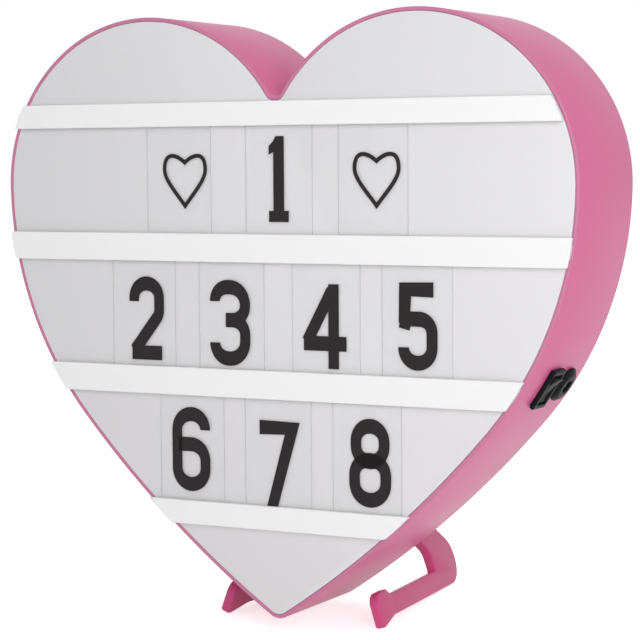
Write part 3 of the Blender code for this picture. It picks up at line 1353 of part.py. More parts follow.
def leaned(point):
    """A point of the box's own frame after the lean, before the box is set down."""
    return Matrix.Rotation(math.radians(-LEAN_ANGLE), 3, "X") @ point


def set_down():
    """Stands the box on its soles, with the middle of its floor area under the origin."""
    front = leaned(Vector((0.0, RAIL_FRONT, rail_spans()[-1][1] + RAIL_EDGE_ROUND)))[1]
    outline = foot_outline()
    heels = [leaned(foot_point(1, reach, rise, out))[1] for reach, rise in outline
             for out in (-FOOT_THICKNESS / 2, FOOT_THICKNESS / 2)]
    floor = leaned(Vector((0.0, 0.0, floor_height_at(0.0))))[2]
    lean.location = Vector((0.0, -(front + max(heels)) / 2, -floor))
    lean.rotation_euler = (math.radians(-LEAN_ANGLE), 0.0, 0.0)


clear_scene()
lean = bpy.data.objects.new("lean", None)
bpy.context.scene.collection.objects.link(lean)
set_down()
make_casing()
make_diffuser()
make_rails()
make_cards()
make_rear_cover()
make_cover_screws()
make_reflector()
make_light_strips()
make_battery_box()
make_cells()
make_contacts()
make_battery_door()
make_switch()
make_power_inlet()
make_board()
make_switch_wires()
make_power_wires()
make_lamp_wires()
make_foot("foot_right", 1)
make_foot("foot_left", -1)
bpy.context.view_layer.update()
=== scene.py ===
"""Looks of the heart-shaped cinema light box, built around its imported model.

Shapes are worked out upright in the box's own frame, in metres: X to the viewer's right, Y from the
front plane of the rim to the back, Z up from the heart's tip. stand() then leans them back and sets
them on the floor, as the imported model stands.
"""

import json
import math

import bmesh
import bpy
import numpy as np
from mathutils import Matrix, Vector

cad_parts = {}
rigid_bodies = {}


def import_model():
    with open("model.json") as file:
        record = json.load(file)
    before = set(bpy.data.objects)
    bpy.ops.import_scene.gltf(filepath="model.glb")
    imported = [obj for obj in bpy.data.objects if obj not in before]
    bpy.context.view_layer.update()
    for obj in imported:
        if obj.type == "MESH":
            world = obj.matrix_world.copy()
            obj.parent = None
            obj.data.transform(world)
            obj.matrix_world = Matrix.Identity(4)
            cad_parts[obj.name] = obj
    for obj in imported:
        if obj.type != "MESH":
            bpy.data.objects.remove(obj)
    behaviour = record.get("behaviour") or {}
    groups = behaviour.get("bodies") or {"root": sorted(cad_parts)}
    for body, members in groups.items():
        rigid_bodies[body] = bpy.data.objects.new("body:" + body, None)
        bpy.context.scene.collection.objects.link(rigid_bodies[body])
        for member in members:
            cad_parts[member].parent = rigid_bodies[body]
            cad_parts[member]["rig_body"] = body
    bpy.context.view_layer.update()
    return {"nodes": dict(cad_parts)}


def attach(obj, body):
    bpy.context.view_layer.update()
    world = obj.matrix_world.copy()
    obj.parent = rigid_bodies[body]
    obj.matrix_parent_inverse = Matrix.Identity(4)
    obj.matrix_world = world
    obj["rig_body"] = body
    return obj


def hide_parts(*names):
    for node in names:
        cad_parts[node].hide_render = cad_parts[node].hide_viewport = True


# How the box stands: turned back about X, then moved back and up
LEAN_ANGLE = math.radians(2.0)
SET_BACK = -0.065762
SET_UP = 0.006245

# Heart outline: five tangent arcs on each side, from the notch round the lobe to the tip
LOBE_RADIUS = 0.0794
LOBE_CENTRE_X = 0.0703
FLANK_RADIUS = 0.172
LOWER_RADIUS = 0.513
TIP_RADIUS = 0.0078
LEAST_TIP_RADIUS = 0.0028
NOTCH_RADIUS = 0.0039
LOBE_END_ANGLE = -1.0
FLANK_END_ANGLE = -41.2
ARC_STEPS = (8, 72, 30, 26, 12)

# Casing and what sits in its front
CASING_DEPTH = 0.068
WALL = 0.0025
RIM_WIDTH = 0.00185
RIM_OUTER_ROUND = 0.0008
RIM_INNER_ROUND = 0.0005
# Faces of the rim's front, down to this depth, take a darker, greyer pink: painted shade
RIM_PAINTED_SHADE_DEPTH = 0.0007
BACK_INNER_ROUND = 0.0004
BACK_OUTER_ROUND = 0.0007
LEDGE_FRONT = 0.0023
LEDGE_BACK = 0.0043
LEDGE_WIDTH = 0.010
GAP = 0.0003
DIFFUSER_SEAM = 0.00012
DIFFUSER_THICKNESS = 0.002
DIFFUSER_EASE = 0.0003
RAIL_PLATE_BACK = -0.0011
RAIL_FRONT = -0.0033
RAIL_GROOVE = 0.0034
RAIL_FRONT_EASE = 0.0006
RAIL_BACK_EASE = 0.0003
RAIL_END_EASE = 0.0004
RAIL_END_INSET = 0.0006
RAIL_END_STEP = 0.0010
TOP_RAIL_RIGHT_SHORTER = 0.0012
END_RAIL_HEIGHT = 0.0114
MIDDLE_RAIL_HEIGHT = 0.0134
WINDOW_HEIGHT = 0.0501
TOP_RAIL_TOP_Z = 0.2417

# Cards and the characters printed on them
CARD_WIDTH = 0.035
CARD_THICKNESS = 0.0005
CARD_CORNER_RADIUS = 0.0011
CARD_EDGE_EASE = 0.00008
CARD_BACK = -GAP
FILM_PROUD = 0.00006
FILM_SUNK = 0.00002
CARD_CENTRES = {
    "card_1_1": -0.344, "card_1_2": 0.016, "card_1_3": 0.340,
    "card_2_1": -0.479, "card_2_2": -0.156, "card_2_3": 0.178, "card_2_4": 0.486,
    "card_3_1": -0.304, "card_3_2": 0.007, "card_3_3": 0.316,
}

# Fittings on the side wall, and what is cut in it for them
FITTINGS_ANGLE = -32.8
SWITCH_DEPTH = 0.030
JACK_DEPTH = 0.050
CUT_LEVELS = (-0.008, 0.006)
SWITCH_OPENING_LENGTH = 0.0194
SWITCH_OPENING_WIDTH = 0.0132
SWITCH_OPENING_RADIUS = 0.0006
INLET_BORE_RADIUS = 0.0056

# Feet
FOOT_THICKNESS = 0.005
FOOT_EDGE_ROUND = 0.0010
FOOT_SPLAY_ANGLE = math.radians(18.5)
FOOT_TOE_OUT_ANGLE = math.radians(4.8)
FOOT_MOUTH = (0.0256, 0.0655, 0.0344)
FOOT_ARM_SLOPE = math.radians(36.9)
FOOT_ARM_HALF_HEIGHT = 0.006
FOOT_TONGUE_HALF_HEIGHT = 0.005
FOOT_HEEL_REACH = 0.0669
FOOT_CROOK_REACH = 0.0364
FOOT_SOLE_DROP = 0.03865
FOOT_TOE_DROP = 0.0422217

# Screws of the rear cover
BOSS_RADIUS = 0.004
BOSS_HOLE_RADIUS = 0.00155
LOBE_SCREW_ANGLE = 88.0
FLANK_SCREW_ANGLE = -14.0
SCREW_SEAT_INSET = 0.0025


def stand(points):
    """Points of the upright box, turned back about X by the lean, then moved back and up."""
    x, y, z = np.moveaxis(np.asarray(points, float), -1, 0)
    cos, sin = math.cos(LEAN_ANGLE), math.sin(LEAN_ANGLE)
    return np.stack((x, cos * y + sin * z + SET_BACK, cos * z - sin * y + SET_UP), axis=-1)


def depth_of(point):
    """Depth behind the front plane of the upright box, for a point where the box stands."""
    return math.cos(LEAN_ANGLE) * (point[1] - SET_BACK) - math.sin(LEAN_ANGLE) * (point[2] - SET_UP)


def heading(angle):
    """Unit vector at an angle in degrees: its cosine and its sine."""
    return np.array((math.cos(math.radians(angle)), math.sin(math.radians(angle))))


def bearing(vector):
    """Angle of a flat vector, in degrees."""
    return math.degrees(math.atan2(vector[1], vector[0]))


def tip_below(lower, inset):
    """Centre height and radius of the tip's arc, tangent inside both lower arcs."""
    radius = max(TIP_RADIUS - inset, LEAST_TIP_RADIUS)
    reach = LOWER_RADIUS - inset - radius
    return lower[1] - math.sqrt(reach**2 - lower[0] ** 2), radius


def outline_centres():
    """Centres of the lobe, flank, lower and notch arcs, raised so that the tip is at height zero."""
    lobe = np.array((LOBE_CENTRE_X, 0.0))
    flank = lobe + (LOBE_RADIUS - FLANK_RADIUS) * heading(LOBE_END_ANGLE)
    lower = flank + (FLANK_RADIUS - LOWER_RADIUS) * heading(FLANK_END_ANGLE)
    tip_z, tip_radius = tip_below(lower, 0.0)
    notch = np.array((0.0, math.sqrt((LOBE_RADIUS + NOTCH_RADIUS) ** 2 - LOBE_CENTRE_X**2)))
    rise = np.array((0.0, tip_radius - tip_z))
    return lobe + rise, flank + rise, lower + rise, notch + rise


LOBE, FLANK, LOWER, NOTCH = outline_centres()
HALF_WIDTH = LOBE[0] + LOBE_RADIUS


def arc(centre, radius, first, last, steps):
    """Points at centre + radius (cos, sin) of equal steps of angle, the first one left out."""
    turn = np.radians(np.linspace(first, last, steps + 1)[1:])
    return centre + radius * np.column_stack((np.cos(turn), np.sin(turn)))


def half_heart(inset):
    """Right half of the outline from notch to tip: each arc keeps its centre and its radius gives
    way by the inset, the notch's arc growing and the others shrinking."""
    tip_z, tip_radius = tip_below(LOWER, inset)
    tip = np.array((0.0, tip_z))
    into_lobe, into_tip = bearing(LOBE - NOTCH), bearing(tip - LOWER)
    notch, lobe, flank, lower, end = ARC_STEPS
    half = np.vstack((
        [NOTCH - (0.0, NOTCH_RADIUS + inset)],
        arc(NOTCH, NOTCH_RADIUS + inset, -90.0, into_lobe, notch),
        arc(LOBE, LOBE_RADIUS - inset, into_lobe + 180.0, LOBE_END_ANGLE, lobe),
        arc(FLANK, FLANK_RADIUS - inset, LOBE_END_ANGLE, FLANK_END_ANGLE, flank),
        arc(LOWER, LOWER_RADIUS - inset, FLANK_END_ANGLE, into_tip, lower),
        arc(tip, tip_radius, into_tip, -90.0, end),
    ))
    half[[0, -1], 0] = 0.0
    return half


def in_front_plane(flat, depth):
    """Flat points of x and z at one depth."""
    return np.column_stack((flat[:, 0], np.full(len(flat), depth), flat[:, 1]))


def heart_ring(inset, depth):
    """The whole outline moved inwards, at one depth: the right half, then its mirror image."""
    half = half_heart(inset)
    return in_front_plane(np.vstack((half, half[-2:0:-1] * (-1.0, 1.0))), depth)


def half_width(height, inset):
    """Half the heart's width at heights, read along its outer side from the lobe's top to the tip."""
    half = half_heart(inset)
    side = half[np.argmax(half[:, 1]):]
    return np.interp(height, side[::-1, 1], side[::-1, 0])


def filleted(corners, steps):
    """Closed outline through corners of x, y and radius. An arc of that radius touches both sides
    at radius / tan(half angle) from the corner, and its centre lies radius / sin(half angle) away."""
    corners = np.asarray(corners, float)
    point, radius = corners[:, :2], corners[:, 2:]
    before, after = np.roll(point, 1, axis=0) - point, np.roll(point, -1, axis=0) - point
    before /= np.linalg.norm(before, axis=1, keepdims=True)
    after /= np.linalg.norm(after, axis=1, keepdims=True)
    half = np.arccos(np.clip((before * after).sum(1, keepdims=True), -1.0, 1.0)) / 2
    middle = before + after
    middle /= np.maximum(np.linalg.norm(middle, axis=1, keepdims=True), 1e-9)
    centre = point + middle * radius / np.sin(half)
    start, end = (point + side * radius / np.tan(half) - centre for side in (before, after))
    first = np.arctan2(start[:, 1], start[:, 0])
    sweep = np.arctan2(end[:, 1], end[:, 0]) - first
    sweep = (sweep + np.pi) % (2 * np.pi) - np.pi
    turn = first[:, None] + sweep[:, None] * np.linspace(0.0, 1.0, steps + 1)
    bend = centre[:, None] + radius[:, None] * np.stack((np.cos(turn), np.sin(turn)), axis=-1)
    points = bend.reshape(-1, 2)
    step = np.linalg.norm(points - np.roll(points, 1, axis=0), axis=1)
    return points[step > 1e-7]


def inset_loop(loop, by):
    """Closed outline moved to its left by a distance: each point goes along the sum of its two
    sides' normals, made longer by one over one plus their dot product."""
    side = np.roll(loop, -1, axis=0) - loop
    side /= np.linalg.norm(side, axis=1, keepdims=True)
    normal = np.column_stack((-side[:, 1], side[:, 0]))
    before = np.roll(normal, 1, axis=0)
    return loop + by * (before + normal) / (1.0 + (before * normal).sum(1, keepdims=True))


def counterclockwise(loop):
    """Outline turned to run counterclockwise, by the sign of its area."""
    after = np.roll(loop, -1, axis=0)
    area = (loop[:, 0] * after[:, 1] - after[:, 0] * loop[:, 1]).sum()
    return loop if area > 0 else loop[::-1]


def rounding(edge, steps):
    """Inset and level along a quarter circle that rounds an edge, from the face to the side."""
    turn = np.linspace(0.0, math.pi / 2, steps + 1)
    return [(edge * (1 - math.sin(t)), edge * (1 - math.cos(t))) for t in turn]


def grid_faces(rows, columns, loop_rows):
    """Corner numbers of a grid's faces. Its columns close round, and its rows where asked."""
    number = np.arange(rows * columns).reshape(rows, columns)
    if loop_rows:
        number = np.vstack((number, number[:1]))
    number = np.hstack((number, number[:, :1]))
    corners = (number[:-1, :-1], number[:-1, 1:], number[1:, 1:], number[1:, :-1])
    return np.stack(corners, axis=-1).reshape(-1, 4)


def skin(rings, loop_rows=False):
    """Points and faces of a closed surface through rings of points. Its last ring joins its first,
    or both are filled."""
    rings = np.asarray(rings, float)
    rows, columns = rings.shape[:2]
    faces = grid_faces(rows, columns, loop_rows).tolist()
    if not loop_rows:
        faces.append(list(range(columns))[::-1])
        faces.append(list(range((rows - 1) * columns, rows * columns)))
    return rings.reshape(-1, 3), faces


def mesh_of(name, surface, upright=True):
    """Mesh of a closed surface, with doubled points merged and faces turned outwards. A surface of
    the upright box is leaned as the box stands."""
    points, faces = surface
    mesh = bpy.data.meshes.new(name)
    mesh.from_pydata((stand(points) if upright else points).tolist(), [], faces)
    work = bmesh.new()
    work.from_mesh(mesh)
    bmesh.ops.remove_doubles(work, verts=work.verts, dist=2e-6)
    bmesh.ops.recalc_face_normals(work, faces=work.faces)
    work.to_mesh(mesh)
    work.free()
    return mesh


def soften(mesh, angle=32.0):
    """Smooth shading, with edges sharp where two faces turn by more than an angle in degrees."""
    mesh.shade_smooth()
    mesh.set_sharp_from_angle(angle=math.radians(angle))


def vectors_of(items, name):
    """One vector of each vertex or face of a mesh, as rows."""
    values = np.empty(3 * len(items), np.float32)
    items.foreach_get(name, values)
    return values.reshape(-1, 3)


def present(name, mesh, finish, body, nodes=()):
    """Puts a mesh in the scene as a piece that rides on a body and stands for CAD nodes."""
    made = bpy.data.objects.new(name, mesh)
    bpy.context.scene.collection.objects.link(made)
    for one in finish if isinstance(finish, tuple) else (finish,):
        mesh.materials.append(one)
    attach(made, body)
    if nodes:
        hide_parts(*nodes)
    return made


def carve(mesh, tools):
    """The mesh after each tool of (operation, mesh) has been added to it or cut from it."""
    work = bpy.data.objects.new("work", mesh)
    bpy.context.scene.collection.objects.link(work)
    helpers = [work]
    for operation, tool in tools:
        helper = bpy.data.objects.new("tool", tool)
        bpy.context.scene.collection.objects.link(helper)
        helpers.append(helper)
        change = work.modifiers.new(operation, "BOOLEAN")
        change.operation, change.solver, change.object = operation, "EXACT", helper
    graph = bpy.context.evaluated_depsgraph_get()
    done = bpy.data.meshes.new_from_object(work.evaluated_get(graph))
    for helper in helpers:
        used = helper.data
        bpy.data.objects.remove(helper)
        bpy.data.meshes.remove(used)
    done.name = "carved"
    return done


def plate(loop, front, back, edge, steps, place_at):
    """Plate between two levels with rounded edges. place_at(flat points, level) puts a ring in space."""
    loop = counterclockwise(loop)
    edges = rounding(edge, steps)
    rings = [place_at(inset_loop(loop, inset), front + level) for inset, level in edges]
    rings += [place_at(inset_loop(loop, inset), back - level) for inset, level in edges[::-1]]
    return skin(rings)


def turned(base, axis, profile, sides, loop_rows=False):
    """Solid of revolution: rings of radius (cos, sin) across the axis at distances along it."""
    base, axis = np.asarray(base, float), np.asarray(axis, float)
    guide = np.array((0.0, 0.0, 1.0)) if abs(axis[2]) < 0.9 else np.array((0.0, 1.0, 0.0))
    first = np.cross(guide, axis)
    first /= np.linalg.norm(first)
    second = np.cross(axis, first)
    turn = np.linspace(0.0, 2 * np.pi, sides, endpoint=False)
    round_it = np.cos(turn)[:, None] * first + np.sin(turn)[:, None] * second
    rings = [base + along * axis + radius * round_it for radius, along in profile]
    return skin(rings, loop_rows=loop_rows)


def block(low, high):
    """Box between its lowest and highest corners."""
    (x0, y0, z0), (x1, y1, z1) = low, high
    rings = [[(x, y, z) for x, y in ((x0, y0), (x1, y0), (x1, y1), (x0, y1))] for z in (z0, z1)]
    return skin(rings)


# Materials: shared effects first

def add_node(tree, kind, inputs=None, **settings):
    """A node with its settings, each input set to a value or linked to another node's output."""
    made = tree.nodes.new(kind)
    for name, value in settings.items():
        setattr(made, name, value)
    for name, value in (inputs or {}).items():
        if isinstance(value, bpy.types.NodeSocket):
            tree.links.new(value, made.inputs[name])
        else:
            made.inputs[name].default_value = value
    return made


def new_group(name, inputs, outputs):
    """Empty shader group with named inputs and outputs: (name, kind, default) and (name, kind)."""
    tree = bpy.data.node_groups.new(name, "ShaderNodeTree")
    for label, kind, value in inputs:
        socket = tree.interface.new_socket(label, in_out="INPUT", socket_type="NodeSocket" + kind)
        socket.default_value = value
    for label, kind in outputs:
        tree.interface.new_socket(label, in_out="OUTPUT", socket_type="NodeSocket" + kind)
    return tree, tree.nodes.new("NodeGroupInput").outputs, tree.nodes.new("NodeGroupOutput").inputs


def make_moulded_group():
    """Moulded plastic: a fine grain in the surface and a slow drift of tone and gloss across it."""
    tree, given, result = new_group(
        "moulded_surface",
        [("Colour", "Color", (0.8, 0.8, 0.8, 1.0)), ("Tone Drift", "Float", 0.05),
         ("Roughness", "Float", 0.4), ("Gloss Drift", "Float", 0.1), ("Grain Size", "Float", 0.0005)],
        [("Colour", "Color"), ("Roughness", "Float"), ("Height", "Float")],
    )
    place = add_node(tree, "ShaderNodeTexCoord").outputs["Object"]
    per_metre = add_node(tree, "ShaderNodeMath", {0: 1.0, 1: given["Grain Size"]}, operation="DIVIDE")
    grain = add_node(tree, "ShaderNodeTexNoise", {
        "Vector": place, "Scale": per_metre.outputs[0], "Detail": 3.0, "Roughness": 0.6})
    drift = add_node(tree, "ShaderNodeTexNoise", {"Vector": place, "Scale": 26.0, "Detail": 4.0})
    swing = add_node(tree, "ShaderNodeMath", {0: drift.outputs[0], 1: 0.5}, operation="SUBTRACT")
    tone = add_node(tree, "ShaderNodeMath", {0: swing.outputs[0], 1: given["Tone Drift"], 2: 1.0},
                    operation="MULTIPLY_ADD")
    grey = add_node(tree, "ShaderNodeCombineColor", {
        "Red": tone.outputs[0], "Green": tone.outputs[0], "Blue": tone.outputs[0]})
    tinted = add_node(tree, "ShaderNodeMix", {
        "Factor": 1.0, "A": given["Colour"], "B": grey.outputs[0]}, data_type="RGBA", blend_type="MULTIPLY")
    gloss = add_node(tree, "ShaderNodeMath", {
        0: swing.outputs[0], 1: given["Gloss Drift"], 2: given["Roughness"]}, operation="MULTIPLY_ADD")
    tree.links.new(tinted.outputs["Result"], result["Colour"])
    tree.links.new(gloss.outputs[0], result["Roughness"])
    tree.links.new(grain.outputs[0], result["Height"])
    return tree


def make_drawn_group():
    """Drawn or rubbed surface: fine lines along one direction, as heights and as gloss."""
    tree, given, result = new_group(
        "drawn_lines",
        [("Stretch", "Vector", (1.0, 1.0, 1.0)), ("Lines Per Metre", "Float", 1500.0),
         ("Roughness", "Float", 0.3), ("Gloss Drift", "Float", 0.15)],
        [("Roughness", "Float"), ("Height", "Float")],
    )
    place = add_node(tree, "ShaderNodeTexCoord").outputs["Object"]
    pulled = add_node(tree, "ShaderNodeVectorMath", {0: place, 1: given["Stretch"]}, operation="MULTIPLY")
    lines = add_node(tree, "ShaderNodeTexNoise", {
        "Vector": pulled.outputs[0], "Scale": given["Lines Per Metre"], "Detail": 2.0})
    swing = add_node(tree, "ShaderNodeMath", {0: lines.outputs[0], 1: 0.5}, operation="SUBTRACT")
    gloss = add_node(tree, "ShaderNodeMath", {
        0: swing.outputs[0], 1: given["Gloss Drift"], 2: given["Roughness"]}, operation="MULTIPLY_ADD")
    tree.links.new(gloss.outputs[0], result["Roughness"])
    tree.links.new(lines.outputs[0], result["Height"])
    return tree


MOULDED = make_moulded_group()
DRAWN = make_drawn_group()


def new_material(name, **constants):
    """Material with the shader's constants set on its own sockets."""
    made = bpy.data.materials.new(name)
    made.use_nodes = True
    tree = made.node_tree
    shader = tree.nodes["Principled BSDF"]
    for label, value in constants.items():
        shader.inputs[label.replace("_", " ")].default_value = value
    return made, tree, shader


def use_group(tree, group, **values):
    """Outputs of a shared effect placed in a material with its own values."""
    used = add_node(tree, "ShaderNodeGroup", node_tree=group)
    for label, value in values.items():
        used.inputs[label.replace("_", " ")].default_value = value
    return used.outputs


def bump(tree, shader, height, depth):
    """Heights of a group, taken as a depth in metres, into the shader's normal."""
    bent = add_node(tree, "ShaderNodeBump", {"Strength": 1.0, "Distance": depth, "Height": height})
    tree.links.new(bent.outputs["Normal"], shader.inputs["Normal"])


def moulded(name, colour, roughness, grain_size, grain_depth, tone_drift=0.06, gloss_drift=0.12,
            **constants):
    """Material with the moulded surface."""
    made, tree, shader = new_material(name, **constants)
    surface = use_group(tree, MOULDED, Colour=(*colour, 1.0), Tone_Drift=tone_drift, Roughness=roughness,
                        Gloss_Drift=gloss_drift, Grain_Size=grain_size)
    tree.links.new(surface["Colour"], shader.inputs["Base Color"])
    tree.links.new(surface["Roughness"], shader.inputs["Roughness"])
    bump(tree, shader, surface["Height"], grain_depth)
    return made


def drawn(name, colour, roughness, stretch, lines, depth, **constants):
    """Material with the drawn lines."""
    made, tree, shader = new_material(name, Base_Color=(*colour, 1.0), **constants)
    surface = use_group(tree, DRAWN, Stretch=stretch, Lines_Per_Metre=lines, Roughness=roughness)
    tree.links.new(surface["Roughness"], shader.inputs["Roughness"])
    bump(tree, shader, surface["Height"], depth)
    return made


def make_finishes():
    """Every finish of the box, by name. Moulded ones give colour, roughness, grain size and depth and
    may add the drifts of tone and gloss. Drawn ones give colour, roughness, stretch, lines and depth."""
    finishes = {}

    def add(maker, name, *values, **constants):
        finishes[name] = maker(name, *values, **constants)

    add(moulded, "shell_pink", (0.64, 0.121, 0.281), 0.36, 0.0006, 0.000012, Specular_IOR_Level=0.20)
    # Rim's front: a darker, greyer pink than the wall, painted shade of the rounded rim
    add(moulded, "rim_pink", (0.52, 0.175, 0.290), 0.36, 0.0006, 0.000012, Specular_IOR_Level=0.28)
    add(moulded, "foot_pink", (0.56, 0.080, 0.212), 0.36, 0.0006, 0.000012, Specular_IOR_Level=0.20)
    add(moulded, "milk_sheet", (0.665, 0.655, 0.667), 0.55, 0.0003, 0.000010, 0.02, 0.06)
    add(drawn, "rail_white", (0.81, 0.81, 0.81), 0.34, (0.02, 1.0, 1.0), 900.0, 0.000008)
    add(moulded, "print_black", (0.023, 0.020, 0.0205), 0.42, 0.0004, 0.000004, 0.3, Specular_IOR_Level=0.10)
    add(moulded, "black_plastic", (0.008, 0.009, 0.009), 0.40, 0.0004, 0.000015, 0.2,
        Specular_IOR_Level=0.05)
    add(moulded, "reflector_white", (0.88, 0.88, 0.87), 0.6, 0.0008, 0.00002)
    add(moulded, "strip_white", (0.86, 0.86, 0.83), 0.35, 0.001, 0.00001)
    add(drawn, "zinc", (0.62, 0.62, 0.64), 0.30, (1.0, 1.0, 1.0), 2200.0, 0.000006, Metallic=1.0)
    add(drawn, "spring_metal", (0.72, 0.58, 0.34), 0.28, (1.0, 0.1, 1.0), 2600.0, 0.000004, Metallic=1.0)
    add(drawn, "cell_steel", (0.70, 0.70, 0.69), 0.22, (1.0, 1.0, 0.1), 2600.0, 0.000003, Metallic=1.0)
    add(moulded, "cell_sleeve", (0.16, 0.18, 0.22), 0.26, 0.0009, 0.000004, 0.1, 0.06)
    add(moulded, "board_green", (0.05, 0.22, 0.10), 0.35, 0.0012, 0.00003, 0.4)
    add(moulded, "wire_red", (0.60, 0.03, 0.03), 0.34, 0.0007, 0.000006)
    add(moulded, "wire_black", (0.02, 0.02, 0.02), 0.34, 0.0007, 0.000006)
    add(moulded, "card_clear", (0.90, 0.90, 0.91), 0.10, 0.004, 0.000010, 0.02, 0.06, Alpha=0.10)
    # Cut edges of the cards: grey and mostly opaque, painted shade for the dark line along clear edges
    add(moulded, "card_edge", (0.50, 0.51, 0.53), 0.16, 0.001, 0.000006, 0.02, 0.06, Alpha=0.70)
    return finishes


# Casing, diffuser and rails

def wall_place(depth):
    """Point of the side wall where a fitting sits, with the directions along the wall, back and out."""
    x, z = heading(FITTINGS_ANGLE)
    spot = FLANK + FLANK_RADIUS * np.array((x, z))
    along, back, out = np.array((-z, 0.0, x)), np.array((0.0, 1.0, 0.0)), np.array((x, 0.0, z))
    return np.array((spot[0], depth, spot[1])), along, back, out


def wall_ring(depth, flat, level):
    """Flat points of a fitting, along and back over its place on the wall, at a level outwards."""
    point, along, back, out = wall_place(depth)
    return point + flat[:, :1] * along + flat[:, 1:] * back + level * out


def rounded_rectangle(length, width, radius, steps):
    """Rectangle about the origin with rounded corners."""
    x, y = length / 2, width / 2
    return filleted([(-x, -y, radius), (x, -y, radius), (x, y, radius), (-x, y, radius)], steps)


def make_casing(finish):
    """Section of inset and depth, rounded at the rim and the back edge, carried round the heart. The
    openings for the switch and the inlet are cut in its wall, and the rim's front gets a darker,
    greyer pink that is painted shade."""
    section = filleted([
        (0.0, 0.0, RIM_OUTER_ROUND), (RIM_WIDTH, 0.0, RIM_INNER_ROUND), (RIM_WIDTH, LEDGE_FRONT, 0.0),
        (LEDGE_WIDTH, LEDGE_FRONT, 0.0), (LEDGE_WIDTH, LEDGE_BACK, 0.0), (WALL, LEDGE_BACK, 0.0),
        (WALL, CASING_DEPTH, BACK_INNER_ROUND), (0.0, CASING_DEPTH, BACK_OUTER_ROUND),
    ], 5)
    rings = [heart_ring(inset, depth) for inset, depth in section]
    shell = mesh_of("casing_shell", skin(rings, loop_rows=True))
    opening = rounded_rectangle(SWITCH_OPENING_LENGTH, SWITCH_OPENING_WIDTH, SWITCH_OPENING_RADIUS, 2)
    slot = skin([wall_ring(SWITCH_DEPTH, opening, level) for level in CUT_LEVELS])
    point, *_, out = wall_place(JACK_DEPTH)
    bore = turned(point, out, [(INLET_BORE_RADIUS, level) for level in CUT_LEVELS], 40)
    cut = carve(shell, [("DIFFERENCE", mesh_of("slot", slot)), ("DIFFERENCE", mesh_of("bore", bore))])
    soften(cut)
    # Faces of the rim's front take the second finish, a darker pink that is painted shade
    for face in cut.polygons:
        face.material_index = int(depth_of(face.center) < RIM_PAINTED_SHADE_DEPTH)
    tones = (finish["shell_pink"], finish["rim_pink"])
    present("casing_shell", cut, tones, "box", ["casing"])


def make_diffuser(finish):
    """Flat heart inside the rim, with its front and back edges eased."""
    edges = rounding(DIFFUSER_EASE, 3)
    inset = RIM_WIDTH + DIFFUSER_SEAM
    rings = [heart_ring(inset + by, level) for by, level in edges]
    rings += [heart_ring(inset + by, DIFFUSER_THICKNESS - level) for by, level in edges[::-1]]
    mesh = mesh_of("diffuser_sheet", skin(rings))
    soften(mesh)
    present("diffuser_sheet", mesh, finish["milk_sheet"], "box", ["diffuser_panel"])


def rail_spans():
    """Name, bottom and top of each rail, and whether it has a groove above and below."""
    spans, top = [], TOP_RAIL_TOP_Z
    for name, height, up, down in (
        ("rail_top", END_RAIL_HEIGHT, False, True), ("rail_upper", MIDDLE_RAIL_HEIGHT, True, True),
        ("rail_lower", MIDDLE_RAIL_HEIGHT, True, True), ("rail_bottom", END_RAIL_HEIGHT, True, False),
    ):
        spans.append((name, top - height, top, up, down))
        top -= height + WINDOW_HEIGHT
    return spans


def rail_section(bottom, top, up, down):
    """Front plate with eased edges on its narrower core, as depth and height."""
    low, high = bottom + RAIL_GROOVE * down, top - RAIL_GROOVE * up
    corners = [(RAIL_FRONT, bottom, RAIL_FRONT_EASE), (RAIL_PLATE_BACK, bottom, RAIL_BACK_EASE)]
    corners += [(RAIL_PLATE_BACK, low, 0.0)] if down else []
    corners += [(-GAP, low, 0.0), (-GAP, high, 0.0)]
    corners += [(RAIL_PLATE_BACK, high, 0.0)] if up else []
    corners += [(RAIL_PLATE_BACK, top, RAIL_BACK_EASE), (RAIL_FRONT, top, RAIL_FRONT_EASE)]
    return filleted(corners, 4)


def denser(loop, step):
    """Closed loop with points added along its long sides."""
    points = []
    for first, last in zip(loop, np.roll(loop, -1, axis=0)):
        count = max(1, int(np.linalg.norm(last - first) / step))
        points += [first + (last - first) * k / count for k in range(count)]
    return np.array(points)


def make_rails(finish):
    """Section carried across the front. At each height the ends lie at the heart's half width, less
    an inset. The top rail's right end is a little shorter."""
    for name, bottom, top, up, down in rail_spans():
        section = denser(rail_section(bottom, top, up, down), RAIL_END_STEP)
        height = section[:, 1]
        order = np.argsort(height)
        shorter = TOP_RAIL_RIGHT_SHORTER if name == "rail_top" else 0.0
        reach = {-1: half_width(height, RAIL_END_INSET), 1: half_width(height, RAIL_END_INSET + shorter)}
        rings = []
        for side, inset in ((-1, RAIL_END_EASE), (-1, 0.0), (1, 0.0), (1, RAIL_END_EASE)):
            flat = inset_loop(counterclockwise(section), inset)
            ends = np.interp(flat[:, 1], height[order], reach[side][order])
            x = side * (ends - (0.0 if inset else RAIL_END_EASE))
            rings.append(np.column_stack((x, flat[:, 0], flat[:, 1])))
        mesh = mesh_of(name + "_profile", skin(rings))
        soften(mesh, 25.0)
        present(name + "_profile", mesh, finish["rail_white"], "box", [name])


# Cards and their printed characters

# Half a stroke of the prints, across and up, and the steps in a bend
DIGIT_PEN = np.array((0.0027, 0.0034))
HEART_PEN = np.array((0.00095, 0.00095))
BEND_STEPS = 10
# The least that one plus the cosine of a corner's turn counts for, so that no corner grows too long
LEAST_CORNER_SUM = 0.30


